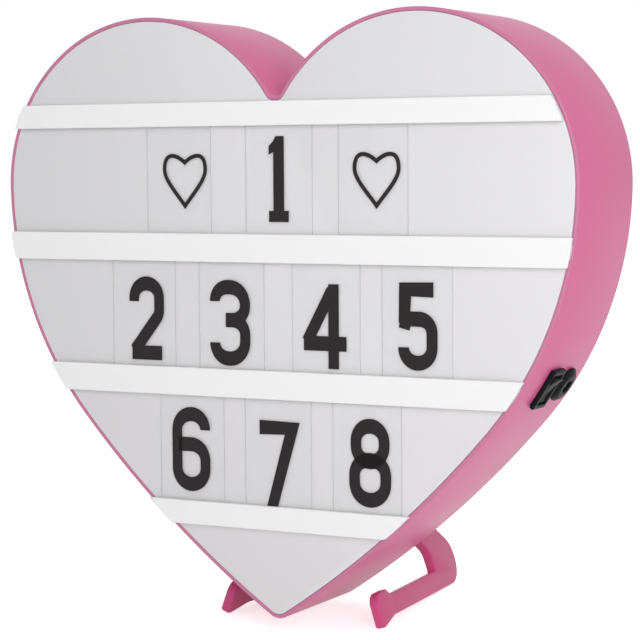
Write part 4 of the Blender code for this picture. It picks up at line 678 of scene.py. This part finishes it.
def stroke_sides(points, closed, pen, level_ends):
    """Left and right sides of a pen stroke along points. The pen reaches pen[0] across and pen[1]
    up, so its reach along a normal n is |(pen[0] n_x, pen[1] n_z)|, made longer at corners by one
    over the cosine of half the turn, up to a limit. An end in level_ends is cut level."""
    run = np.roll(points, -1, axis=0) - points if closed else np.diff(points, axis=0)
    run = run / np.linalg.norm(run, axis=1, keepdims=True)
    normal = np.column_stack((-run[:, 1], run[:, 0]))
    if closed:
        before, after = np.roll(normal, 1, axis=0), normal
    else:
        before, after = np.vstack((normal[:1], normal)), np.vstack((normal, normal[-1:]))
    middle = (before + after) / np.maximum(1.0 + (before * after).sum(1, keepdims=True), LEAST_CORNER_SUM)
    unit = middle / np.linalg.norm(middle, axis=1, keepdims=True)
    reach = np.linalg.norm(unit * pen, axis=1, keepdims=True)
    side = middle * reach
    for end in level_ends:
        side[end] = (reach[end, 0] / unit[end, 0], 0.0)
    return points + side, points - side


def stroke(points, closed, pen, front, back, level_ends=()):
    """Closed film along a pen stroke, between two depths."""
    left, right = stroke_sides(points, closed, pen, level_ends)
    if closed:
        rings = [in_front_plane(flat, depth) for flat, depth in (
            (left, front), (right, front), (right, back), (left, back))]
        return skin(rings, loop_rows=True)
    loop = np.vstack((left, right[::-1]))
    return skin([in_front_plane(loop, depth) for depth in (front, back)])


def open_path(corners):
    """Path through corners of x, z and radius, with its bends rounded. Its ends have no radius."""
    corners = np.asarray(corners, float)
    if len(corners) == 2:
        return corners[:, :2]
    rounded_loop = filleted(corners, BEND_STEPS)
    start = np.argmin(np.linalg.norm(rounded_loop - corners[0, :2], axis=1))
    return np.roll(rounded_loop, -start, axis=0)


def digit_strokes(digit):
    """Strokes of a condensed bold digit: whether closed, its corners as shares of the pen's room
    across and up with a bend radius as a share of that room's half width, and any level ends."""
    full = 1.0
    table = {
        "2": [(False, [(0, .74, 0), (0, 1, full), (1, 1, full), (1, .56, .9), (.02, .04, 0)], ()),
              (False, [(-.10, 0, 0), (1.10, 0, 0)], ())],
        "3": [(False, [(0, .80, 0), (0, 1, full), (1, 1, full), (1, .54, .85), (.36, .54, 0)], ()),
              (False, [(.36, .54, 0), (1, .54, .85), (1, 0, full), (0, 0, full), (0, .22, 0)], ())],
        "4": [(False, [(.74, -.10, 0), (.74, 1.08, 0)], ()), (False, [(.70, 1.0, 0), (0, .28, 0)], ()),
              (False, [(-.10, .25, 0), (1.10, .25, 0)], ())],
        "5": [(False, [(1.05, 1, 0), (.06, 1, 0), (.02, .54, 0)], ()),
              (False, [(.02, .46, 0), (.10, .60, .3), (1, .60, .9), (1, 0, full), (0, 0, full),
                       (0, .21, 0)], ())],
        "6": [(False, [(1, .78, 0), (1, 1, full), (0, 1, full), (0, 0, full), (1, 0, full),
                       (1, .57, full), (.04, .57, 0)], ())],
        "7": [(False, [(-.12, 1, 0), (1, 1, 0), (.30, -.10, 0)], (-1,))],
        "8": [(True, [(.05, .52, .9), (.95, .52, .9), (.95, 1, .9), (.05, 1, .9)], ()),
              (True, [(0, 0, full), (1, 0, full), (1, .54, .9), (0, .54, .9)], ())],
    }
    return table[digit]


def fitting_radii(path, closed):
    """Bend radii made smaller where two bends would meet: a bend takes radius / tan(half angle) of
    each of its sides, and the bends at a side's two ends share its length."""
    point, radius = path[:, :2], path[:, 2].copy()
    after = np.roll(point, -1, axis=0) - point
    length = np.linalg.norm(after, axis=1)
    run = after / length[:, None]
    back = -np.roll(run, 1, axis=0)
    half = np.arccos(np.clip((run * back).sum(1), -1.0, 1.0)) / 2
    taken = radius / np.tan(half)
    share = length / np.maximum(taken + np.roll(taken, -1), 1e-9)
    if not closed:
        share[-1] = np.inf
    return radius * np.minimum(1.0, np.minimum(share, np.roll(share, 1))) * 0.999


def digit_film(digit, box, front, back):
    """One digit that fills a box of x and z. The pen's middle keeps the pen's reach from its sides."""
    (x0, x1), (z0, z1) = box
    low = np.array((x0, z0)) + DIGIT_PEN
    room = np.array((x1 - x0, z1 - z0)) - 2 * DIGIT_PEN
    films = []
    for closed, corners, level_ends in digit_strokes(digit):
        corners = np.asarray(corners, float)
        path = np.column_stack((low + corners[:, :2] * room, corners[:, 2] * room[0] / 2))
        if len(path) > 2:
            path[:, 2] = fitting_radii(path, closed)
        points = filleted(path, BEND_STEPS) if closed else open_path(path)
        drawn_stroke = stroke(points, closed, DIGIT_PEN, front, back, level_ends)
        films.append(mesh_of("film", drawn_stroke, upright=False))
    return carve(films[0], [("UNION", film) for film in films[1:]]) if films[1:] else films[0]


def one_film(box, front, back):
    """The digit one: a stem with a flag at its top and a short bar at its foot, as one outline."""
    (x0, x1), (z0, z1) = box
    stem, foot = 0.0056, 0.0052
    left, right = (x0 + x1 - stem) / 2, (x0 + x1 + stem) / 2
    loop = np.array((
        (x0, z0), (x1, z0), (x1, z0 + foot), (right, z0 + foot), (right, z1), (left + 0.0012, z1),
        (left, z1 - 0.0022), (x0, z1 - 0.0046), (x0, z1 - 0.0086), (left, z1 - 0.0072),
        (left, z0 + foot), (x0, z0 + foot)))
    return mesh_of("film", skin([in_front_plane(loop, depth) for depth in (front, back)]), upright=False)


def cubic(a, b, c, d, steps):
    """Points of (1 - t)^3 a + 3 (1 - t)^2 t b + 3 (1 - t) t^2 c + t^3 d, the last one left out."""
    t = np.linspace(0.0, 1.0, steps, endpoint=False)[:, None]
    corners = [np.array(corner) for corner in (a, b, c, d)]
    weights = ((1 - t) ** 3, 3 * (1 - t) ** 2 * t, 3 * (1 - t) * t**2, t**3)
    return sum(weight * corner for weight, corner in zip(weights, corners))


def heart_film(box, front, back):
    """Outlined heart: on each side one cubic over the lobe and one down to the tip."""
    (x0, x1), (z0, z1) = box
    over = cubic((0.0, 0.87), (0.20, 1.04), (0.50, 1.11), (0.50, 0.735), 18)
    down = cubic((0.50, 0.735), (0.50, 0.52), (0.22, 0.27), (0.0, 0.0), 18)
    right = np.vstack((over, down, [(0.0, 0.0)]))
    raw = np.vstack((right, right[-2:0:-1] * (-1.0, 1.0)))
    low, high = raw.min(0), raw.max(0)
    room = np.array((x1 - x0, z1 - z0)) - 2 * HEART_PEN
    points = np.array((x0, z0)) + HEART_PEN + (raw - low) / (high - low) * room
    return mesh_of("film", stroke(points, True, HEART_PEN, front, back), upright=False)


# What each card shows, in the space it fills: x0, x1 and z0, z1 of the upright box
PRINTS = {
    "card_1_1": ("heart", (-0.0603, -0.0360), (0.1921, 0.2176)),
    "card_1_2": ("1", (-0.0028, 0.0076), (0.1858, 0.2254)),
    "card_1_3": ("heart", (0.0407, 0.0648), (0.1926, 0.2178)),
    "card_2_1": ("2", (-0.0800, -0.0606), (0.1193, 0.1593)),
    "card_2_2": ("3", (-0.0351, -0.0134), (0.1181, 0.1585)),
    "card_2_3": ("4", (0.0142, 0.0380), (0.1186, 0.1584)),
    "card_2_4": ("5", (0.0633, 0.0828), (0.1196, 0.1595)),
    "card_3_1": ("6", (-0.0566, -0.0357), (0.0573, 0.0976)),
    "card_3_2": ("7", (-0.0096, 0.0113), (0.0526, 0.0934)),
    "card_3_3": ("8", (0.0382, 0.0595), (0.0559, 0.0967)),
}


def make_cards(finish):
    """Clear plate for each card, with its cut edge as a second finish in grey, more opaque, as painted
    shade, and the print on its front.
    """
    spans = rail_spans()
    reach = RAIL_GROOVE - GAP
    rows = [(below[2] - reach, above[1] + reach) for above, below in zip(spans, spans[1:])]
    front = CARD_BACK - CARD_THICKNESS
    for name, share in CARD_CENTRES.items():
        bottom, top = rows[int(name.split("_")[1]) - 1]
        middle = np.array((share * HALF_WIDTH, (bottom + top) / 2))
        loop = rounded_rectangle(CARD_WIDTH, top - bottom, CARD_CORNER_RADIUS, 5) + middle
        sheet = plate(loop, front, CARD_BACK, CARD_EDGE_EASE, 2, in_front_plane)
        mesh = mesh_of(name + "_sheet", sheet)
        # Edge faces get the second finish, a grey that is painted shade
        painted_shade_edge = np.abs(vectors_of(mesh.polygons, "normal")[:, 1]) < 0.8
        body, tones = "slide_" + name, (finish["card_clear"], finish["card_edge"])
        present(name + "_sheet", mesh, tones, body, [name])
        mesh.polygons.foreach_set("material_index", painted_shade_edge.astype(np.int32))
        kind, across, up = PRINTS[name]
        place = ((across, up), front - FILM_PROUD, front + FILM_SUNK)
        if kind == "heart":
            film = heart_film(*place)
        elif kind == "1":
            film = one_film(*place)
        else:
            film = digit_film(kind, *place)
        lean_film(film)
        soften(film, 20.0)
        print_name = "print_heart" if kind == "heart" else "print_digit_" + kind
        present(print_name + name[4:], film, finish["print_black"], body)


def lean_film(mesh):
    """Leans a film that was made upright as the box stands."""
    points = stand(vectors_of(mesh.vertices, "co"))
    mesh.vertices.foreach_set("co", points.astype(np.float32).ravel())
    mesh.update()


# Switch and power inlet

# Rings of the switch's housing: length, width, corner radius, and level outwards from the wall
SWITCH_RINGS = (
    (0.0188, 0.0126, 0.0005, -0.012), (0.0188, 0.0126, 0.0005, GAP),
    (0.0208, 0.0142, 0.0012, GAP), (0.0210, 0.0144, 0.0013, GAP + 0.0003),
    (0.0210, 0.0144, 0.0013, 0.0016), (0.0207, 0.0141, 0.0012, 0.0020),
    (0.0200, 0.0134, 0.0010, 0.0023), (0.0164, 0.0106, 0.0005, 0.0023),
    (0.0162, 0.0104, 0.0004, 0.0021), (0.0162, 0.0104, 0.0004, -0.0052),
)


def make_switch(finish):
    """Housing as a loft of rounded rectangles: body, bezel with an eased rim, then down into the well."""
    rings = [wall_ring(SWITCH_DEPTH, rounded_rectangle(length, width, radius, 5), level)
             for length, width, radius, level in SWITCH_RINGS]
    mesh = mesh_of("switch_bezel", skin(rings))
    soften(mesh, 30.0)
    present("switch_bezel", mesh, finish["black_plastic"], "box", ["switch_housing"])


def make_rocker(finish):
    """Key with two dished faces that meet in a crest: its top is a V with a shallow hollow in each
    half and a rounded end, carried across the width and eased at both sides."""
    point, along, back, out = wall_place(SWITCH_DEPTH)
    pivot = point - 0.001 * out
    tilt = math.radians(9.0)
    half_length, side_reach = 0.0072, 0.0048
    crest, keel, hollow, end_round = 0.0029, 0.0025, 0.0005, 0.0006
    s = np.linspace(-1.0, 1.0, 33)
    share = np.abs(s)
    top = crest + half_length * share * math.tan(tilt) - hollow * np.sin(np.pi * share)
    top -= end_round * share**14
    foot = ((half_length, -keel), (-half_length, -keel))
    outline = counterclockwise(np.vstack((np.column_stack((half_length * s, top)), foot)))
    turn = np.array(((math.cos(tilt), math.sin(tilt)), (-math.sin(tilt), math.cos(tilt))))
    # How far the rings that ease a side are inset, and how far they stay inside it
    easing = ((0.0004, 0.0), (0.00012, 0.00012), (0.0, 0.0004))
    stations = [(-1, inset, inside) for inset, inside in easing]
    stations += [(1, inset, inside) for inset, inside in easing[::-1]]
    rings = []
    for side, inset, inside in stations:
        flat = inset_loop(outline, inset) @ turn
        reach = side * (side_reach - inside)
        rings.append(pivot + flat[:, :1] * along + flat[:, 1:] * out + reach * back)
    mesh = mesh_of("rocker_key", skin(rings))
    soften(mesh, 30.0)
    present("rocker_key", mesh, finish["black_plastic"], "rocker", ["switch_rocker"])


def make_inlet(finish):
    """Turned socket with a domed flange and a chamfered bore, and its round-nosed centre pin. Its
    section is given as radius, level outwards from the wall and bend radius."""
    point, *_, out = wall_place(JACK_DEPTH)
    crown = GAP + 0.0026
    section = filleted([
        (0.0053, -0.011, 0.0), (0.0053, GAP, 0.0), (0.0090, GAP, 0.0002), (0.0090, 0.0012, 0.0005),
        (0.0070, 0.0026, 0.0012), (0.0056, crown, 0.0003), (0.0037, crown, 0.0003), (0.0033, 0.0024, 0.0002),
        (0.0033, -0.0051, 0.0), (0.0009, -0.0051, 0.0), (0.0009, -0.011, 0.0)], 5)
    mesh = mesh_of("inlet_socket", turned(point, out, section, 64, loop_rows=True))
    soften(mesh, 30.0)
    present("inlet_socket", mesh, finish["black_plastic"], "box", ["power_inlet"])
    tail, radius = 0.0006, 0.001
    turns = np.linspace(0.0, np.pi / 2, 7)[:-1]
    nose = [(radius * math.cos(turn), radius + radius * math.sin(turn)) for turn in turns]
    pin = [(tail, -0.017), (tail, -0.0048), (radius, -0.0048)] + nose + [(0.00005, 0.002)]
    mesh = mesh_of("inlet_contact", turned(point, out, pin, 32))
    soften(mesh, 30.0)
    present("inlet_contact", mesh, finish["spring_metal"], "box", ["inlet_pin"])


# Feet

def foot_axes(side):
    """Across the plate, backwards along its bar and up the plate, for the right or the left foot."""
    level = np.array((math.cos(FOOT_TOE_OUT_ANGLE), math.sin(FOOT_TOE_OUT_ANGLE), 0.0))
    across = level * math.cos(FOOT_SPLAY_ANGLE) + (0.0, 0.0, math.sin(FOOT_SPLAY_ANGLE))
    backwards = np.array((-math.sin(FOOT_TOE_OUT_ANGLE), math.cos(FOOT_TOE_OUT_ANGLE), 0.0))
    mirror = np.array((side, 1.0, 1.0))
    return across * mirror, backwards * mirror, np.cross(across, backwards) * mirror


def foot_corners():
    """Hooked profile, as reach, rise and bend radius: tongue, sloping arm, heel, bar and toe."""
    slope = math.tan(FOOT_ARM_SLOPE)
    heel, crook, sole = FOOT_HEEL_REACH, FOOT_CROOK_REACH, -FOOT_SOLE_DROP
    heel_top, crook_top, bar_top, toe_top = -0.0194, -0.0185, 0.00985 + sole, 0.0132 + sole
    arm, tongue, tongue_end, lip = FOOT_ARM_HALF_HEIGHT, FOOT_TONGUE_HALF_HEIGHT, -0.015, 2 * GAP
    shoulder = heel - (arm - heel_top) / slope
    under = crook - (-arm - crook_top) / slope
    return [
        (lip, arm, 0.0), (shoulder, arm, 0.020), (heel, heel_top, 0.013), (heel, sole, 0.0125),
        (-0.0279, sole, 0.012), (-0.0446, -FOOT_TOE_DROP, 0.0018), (-0.0434, toe_top, 0.0062),
        (-0.0302, toe_top, 0.002), (-0.0262, bar_top, 0.002), (crook, bar_top, 0.0018),
        (crook, crook_top, 0.008), (under, -arm, 0.010), (lip, -arm, 0.0), (lip, -tongue, 0.0),
        (tongue_end, -tongue, 0.0), (tongue_end, tongue, 0.0), (lip, tongue, 0.0),
    ]


def make_foot(name, side, body, finish):
    """Rounded plate along the hooked outline, with its soles cut level with the floor."""
    across, backwards, upwards = foot_axes(side)
    mouth = np.array(FOOT_MOUTH) * (side, 1.0, 1.0)
    outline = filleted(foot_corners(), 12)

    def in_plate(flat, level):
        return mouth + flat[:, :1] * backwards + flat[:, 1:] * upwards + level * across

    half = FOOT_THICKNESS / 2
    mesh = mesh_of(name + "_hook", plate(outline, -half, half, FOOT_EDGE_ROUND, 5, in_plate))
    work = bmesh.new()
    work.from_mesh(mesh)
    parts = work.verts[:] + work.edges[:] + work.faces[:]
    cut = bmesh.ops.bisect_plane(
        work, geom=parts, plane_co=(0.0, 0.0, 0.0), plane_no=(0.0, 0.0, 1.0), clear_inner=True)
    rim = [item for item in cut["geom_cut"] if isinstance(item, bmesh.types.BMEdge)]
    bmesh.ops.holes_fill(work, edges=rim, sides=0)
    work.to_mesh(mesh)
    work.free()
    soften(mesh, 30.0)
    present(name + "_hook", mesh, finish["foot_pink"], body, [name])


# Back: cover, door, screws and what the door shows

def eased_copy(frame, node, name, edge, finish):
    """Copy of a CAD node with its doubled points merged, its flat faces joined and its edges eased."""
    source = frame["nodes"][node]
    mesh = source.data.copy()
    mesh.materials.clear()
    work = bmesh.new()
    work.from_mesh(mesh)
    bmesh.ops.remove_doubles(work, verts=work.verts, dist=1e-6)
    bmesh.ops.dissolve_limit(work, angle_limit=math.radians(0.5), verts=work.verts, edges=work.edges)
    work.to_mesh(mesh)
    work.free()
    soften(mesh, 30.0)
    made = present(name, mesh, finish, source["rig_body"], [node])
    if edge:
        ease = made.modifiers.new("eased_edges", "BEVEL")
        ease.width, ease.segments = edge, 2
        ease.limit_method, ease.angle_limit = "ANGLE", math.radians(40.0)
    return made


def steel_ends(made):
    """Gives the second finish to the faces that look along the cell, and to its nub."""
    mesh, nub_reach = made.data, 0.0045
    points = vectors_of(mesh.vertices, "co")
    middle = (points.min(0) + points.max(0)) / 2
    off_axis = np.linalg.norm((vectors_of(mesh.polygons, "center") - middle)[:, :2], axis=1)
    ends = (np.abs(vectors_of(mesh.polygons, "normal")[:, 2]) > 0.7) | (off_axis < nub_reach)
    mesh.polygons.foreach_set("material_index", ends.astype(np.int32))


def boss_spots():
    """Where the cover's screws sit: on the lobes and flanks, in the notch and at the tip."""
    inset = WALL + BOSS_RADIUS - (BOSS_RADIUS - BOSS_HOLE_RADIUS) / 3
    right = [LOBE + (LOBE_RADIUS - inset) * heading(LOBE_SCREW_ANGLE),
             FLANK + (FLANK_RADIUS - inset) * heading(FLANK_SCREW_ANGLE)]
    left = [spot * (-1.0, 1.0) for spot in right]
    return right + left + [NOTCH - (0.0, NOTCH_RADIUS + inset), np.array((0.0, inset))]


def make_cover_screws(finish):
    """Pan head as a turned dome with a crossed recess, on its shank."""
    head, shank, point, lip, rise = 0.0026, 0.00125, 0.0003, 0.0006, 0.0011
    recess_reach, recess_half_width = 0.0016, 0.00042
    dome = [(head * math.cos(turn) + 0.00002, lip + rise * math.sin(turn))
            for turn in np.linspace(0.0, np.pi / 2, 9)]
    profile = [(point, -0.012), (shank, -0.0112), (shank, 0.0), (head, 0.0)] + dome
    out = np.array((0.0, 1.0, 0.0))
    for number, (x, z) in enumerate(boss_spots(), start=1):
        seat = np.array((x, CASING_DEPTH - SCREW_SEAT_INSET + GAP, z))
        turn = math.radians(23.0 * number)
        blades = []
        for angle in (turn, turn + math.pi / 2):
            along = recess_reach * np.array((math.cos(angle), 0.0, math.sin(angle)))
            across = recess_half_width * np.array((-math.sin(angle), 0.0, math.cos(angle)))
            rings = [[seat + i * along * share + j * across * share + level * out
                      for i, j in ((-1, -1), (1, -1), (1, 1), (-1, 1))]
                     for level, share in ((0.0006, 0.7), (0.0020, 1.1))]
            blades.append(("DIFFERENCE", mesh_of("blade", skin(rings))))
        mesh = carve(mesh_of("head", turned(seat, out, profile, 40)), blades)
        soften(mesh, 35.0)
        present(f"panel_screw_{number}", mesh, finish["zinc"], "box", [f"cover_screw_{number}"])


def dress_back(frame, finish):
    """Eased copies of the rear cover, the battery door and what it shows."""
    eased_copy(frame, "rear_cover", "rear_panel", 0.0003, finish["shell_pink"])
    eased_copy(frame, "battery_door", "battery_lid", 0.0002, finish["shell_pink"])
    eased_copy(frame, "battery_box", "battery_tray", 0.0002, finish["black_plastic"])
    tones = (finish["cell_sleeve"], finish["cell_steel"])
    for number in (1, 2, 3):
        cell = eased_copy(frame, f"battery_cell_{number}", f"cell_{number}", 0.0004, tones)
        steel_ends(cell)
    for number in (1, 2, 3, 4):
        node, name = f"battery_contact_{number}", f"contact_{number}"
        eased_copy(frame, node, name, 0.0, finish["spring_metal"])


def dress_inside(frame, finish):
    """Gives every CAD node that stays its own finish."""
    kept = {
        "reflector_sheet": "reflector_white", "light_strip": "strip_white", "strip_jumper": "wire_red",
        "box_screw": "zinc", "switch_terminal": "spring_metal", "inlet_terminal": "spring_metal",
        "inlet_nut": "zinc", "resistor_board": "board_green", "wire_battery_red": "wire_red",
        "wire_switch_red": "wire_red", "wire_inlet_red": "wire_red", "wire_lamp_red": "wire_red",
        "wire_battery_black": "wire_black", "wire_inlet_black": "wire_black", "wire_lamp_black": "wire_black",
    }
    for name, node in frame["nodes"].items():
        for start, label in kept.items():
            if name.startswith(start):
                for place in node.material_slots:
                    place.material = finish[label]


# Studio: stage, lights and camera

FLOOR_LOW, FLOOR_HIGH = (-4.0, -4.0, -0.02), (4.0, 4.0, 0.0)
FLOOR_GLOW = 0.64
AMBIENT = 0.44
# Where each lamp stands, its width and its power
LIGHTS = {
    "key": ((0.8, -1.0, 0.5), 0.9, 9.5),
    "low": ((0.7, -0.9, 0.06), 0.5, 2.0),
    "fill": ((-1.5, -1.4, 0.5), 1.2, 2.2),
    "top": ((0.1, 0.1, 1.9), 1.2, 3.5),
    "rear": ((-0.6, 1.7, 1.1), 1.2, 5.0),
}
LIGHTS_AIM = Vector((0.0, 0.0, 0.14))
CAMERA_SENSOR = 36.0
CAMERA_LENS = 122.11
CAMERA_PLACE = (0.48747, -0.87923, 0.21395)
CAMERA_YAW, CAMERA_PITCH, CAMERA_ROLL = 27.842, -4.196, 0.357


def make_stage():
    """Pale floor that also glows to the camera, in reflections and through clear plastic, so that it
    shows nearly white with the box's shadow on it."""
    mesh = mesh_of("floor", block(FLOOR_LOW, FLOOR_HIGH), upright=False)
    floor = bpy.data.objects.new("floor", mesh)
    bpy.context.scene.collection.objects.link(floor)
    made, tree, shader = new_material("floor_pale", Base_Color=(0.86, 0.86, 0.86, 1.0), Roughness=0.8)
    output = tree.nodes["Material Output"]
    bright = add_node(tree, "ShaderNodeEmission", {"Color": (1.0, 1.0, 1.0, 1.0), "Strength": FLOOR_GLOW})
    both = add_node(tree, "ShaderNodeAddShader", {0: shader.outputs[0], 1: bright.outputs[0]})
    seen = seen_directly(tree)
    choice = add_node(tree, "ShaderNodeMixShader", {0: seen, 1: shader.outputs[0], 2: both.outputs[0]})
    tree.links.new(choice.outputs[0], output.inputs["Surface"])
    mesh.materials.append(made)


def seen_directly(tree):
    """One for camera, glossy and transmission rays, and zero for the light that falls on the box."""
    path = add_node(tree, "ShaderNodeLightPath")
    first = add_node(tree, "ShaderNodeMath", {
        0: path.outputs["Is Camera Ray"], 1: path.outputs["Is Glossy Ray"]}, operation="MAXIMUM")
    both = add_node(tree, "ShaderNodeMath", {
        0: first.outputs[0], 1: path.outputs["Is Transmission Ray"]}, operation="MAXIMUM")
    return both.outputs[0]


def make_world():
    """Even pale surround that lights the box, and shows white to the camera and in reflections."""
    world = bpy.data.worlds.new("studio")
    bpy.context.scene.world = world
    world.use_nodes = True
    tree = world.node_tree
    around = tree.nodes["Background"]
    around.inputs["Color"].default_value = (1.0, 1.0, 1.0, 1.0)
    around.inputs["Strength"].default_value = AMBIENT
    white = add_node(tree, "ShaderNodeBackground", {"Color": (1.0, 1.0, 1.0, 1.0), "Strength": 1.0})
    choice = add_node(tree, "ShaderNodeMixShader", {
        0: seen_directly(tree), 1: around.outputs[0], 2: white.outputs[0]})
    tree.links.new(choice.outputs[0], tree.nodes["World Output"].inputs["Surface"])


def make_lights():
    """Square lamps that look at the box's middle. The camera and reflections don't see them."""
    for name, (place, size, power) in LIGHTS.items():
        light = bpy.data.lights.new(name, "AREA")
        light.size, light.energy = size, power
        lamp = bpy.data.objects.new(name, light)
        bpy.context.scene.collection.objects.link(lamp)
        lamp.location = place
        lamp.rotation_euler = (LIGHTS_AIM - Vector(place)).to_track_quat("-Z", "Y").to_euler()
        lamp.visible_camera = lamp.visible_glossy = False


def make_camera():
    """Camera fitted in the upright box's frame: yaw about Z, pitch about X, roll about its view."""
    lens = bpy.data.cameras.new("camera")
    lens.sensor_width, lens.lens, lens.clip_start = CAMERA_SENSOR, CAMERA_LENS, 0.05
    camera = bpy.data.objects.new("camera", lens)
    bpy.context.scene.collection.objects.link(camera)
    turn = Matrix.Identity(4)
    for angle, axis in ((CAMERA_YAW, "Z"), (CAMERA_PITCH, "X"), (CAMERA_ROLL, "Y"), (90.0, "X")):
        turn = turn @ Matrix.Rotation(math.radians(angle), 4, axis)
    placed = Matrix.Translation(CAMERA_PLACE) @ turn
    lean = Matrix.Translation((0.0, SET_BACK, SET_UP)) @ Matrix.Rotation(-LEAN_ANGLE, 4, "X")
    camera.matrix_world = lean @ placed
    bpy.context.scene.camera = camera


for startup in list(bpy.data.objects):
    bpy.data.objects.remove(startup)
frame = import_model()
finishes = make_finishes()
make_casing(finishes)
make_diffuser(finishes)
make_rails(finishes)
make_cards(finishes)
make_switch(finishes)
make_rocker(finishes)
make_inlet(finishes)
make_foot("foot_right", 1, "right_foot", finishes)
make_foot("foot_left", -1, "left_foot", finishes)
dress_back(frame, finishes)
make_cover_screws(finishes)
dress_inside(frame, finishes)
make_stage()
make_world()
make_lights()
make_camera()
bpy.context.scene.view_settings.view_transform = "Standard"
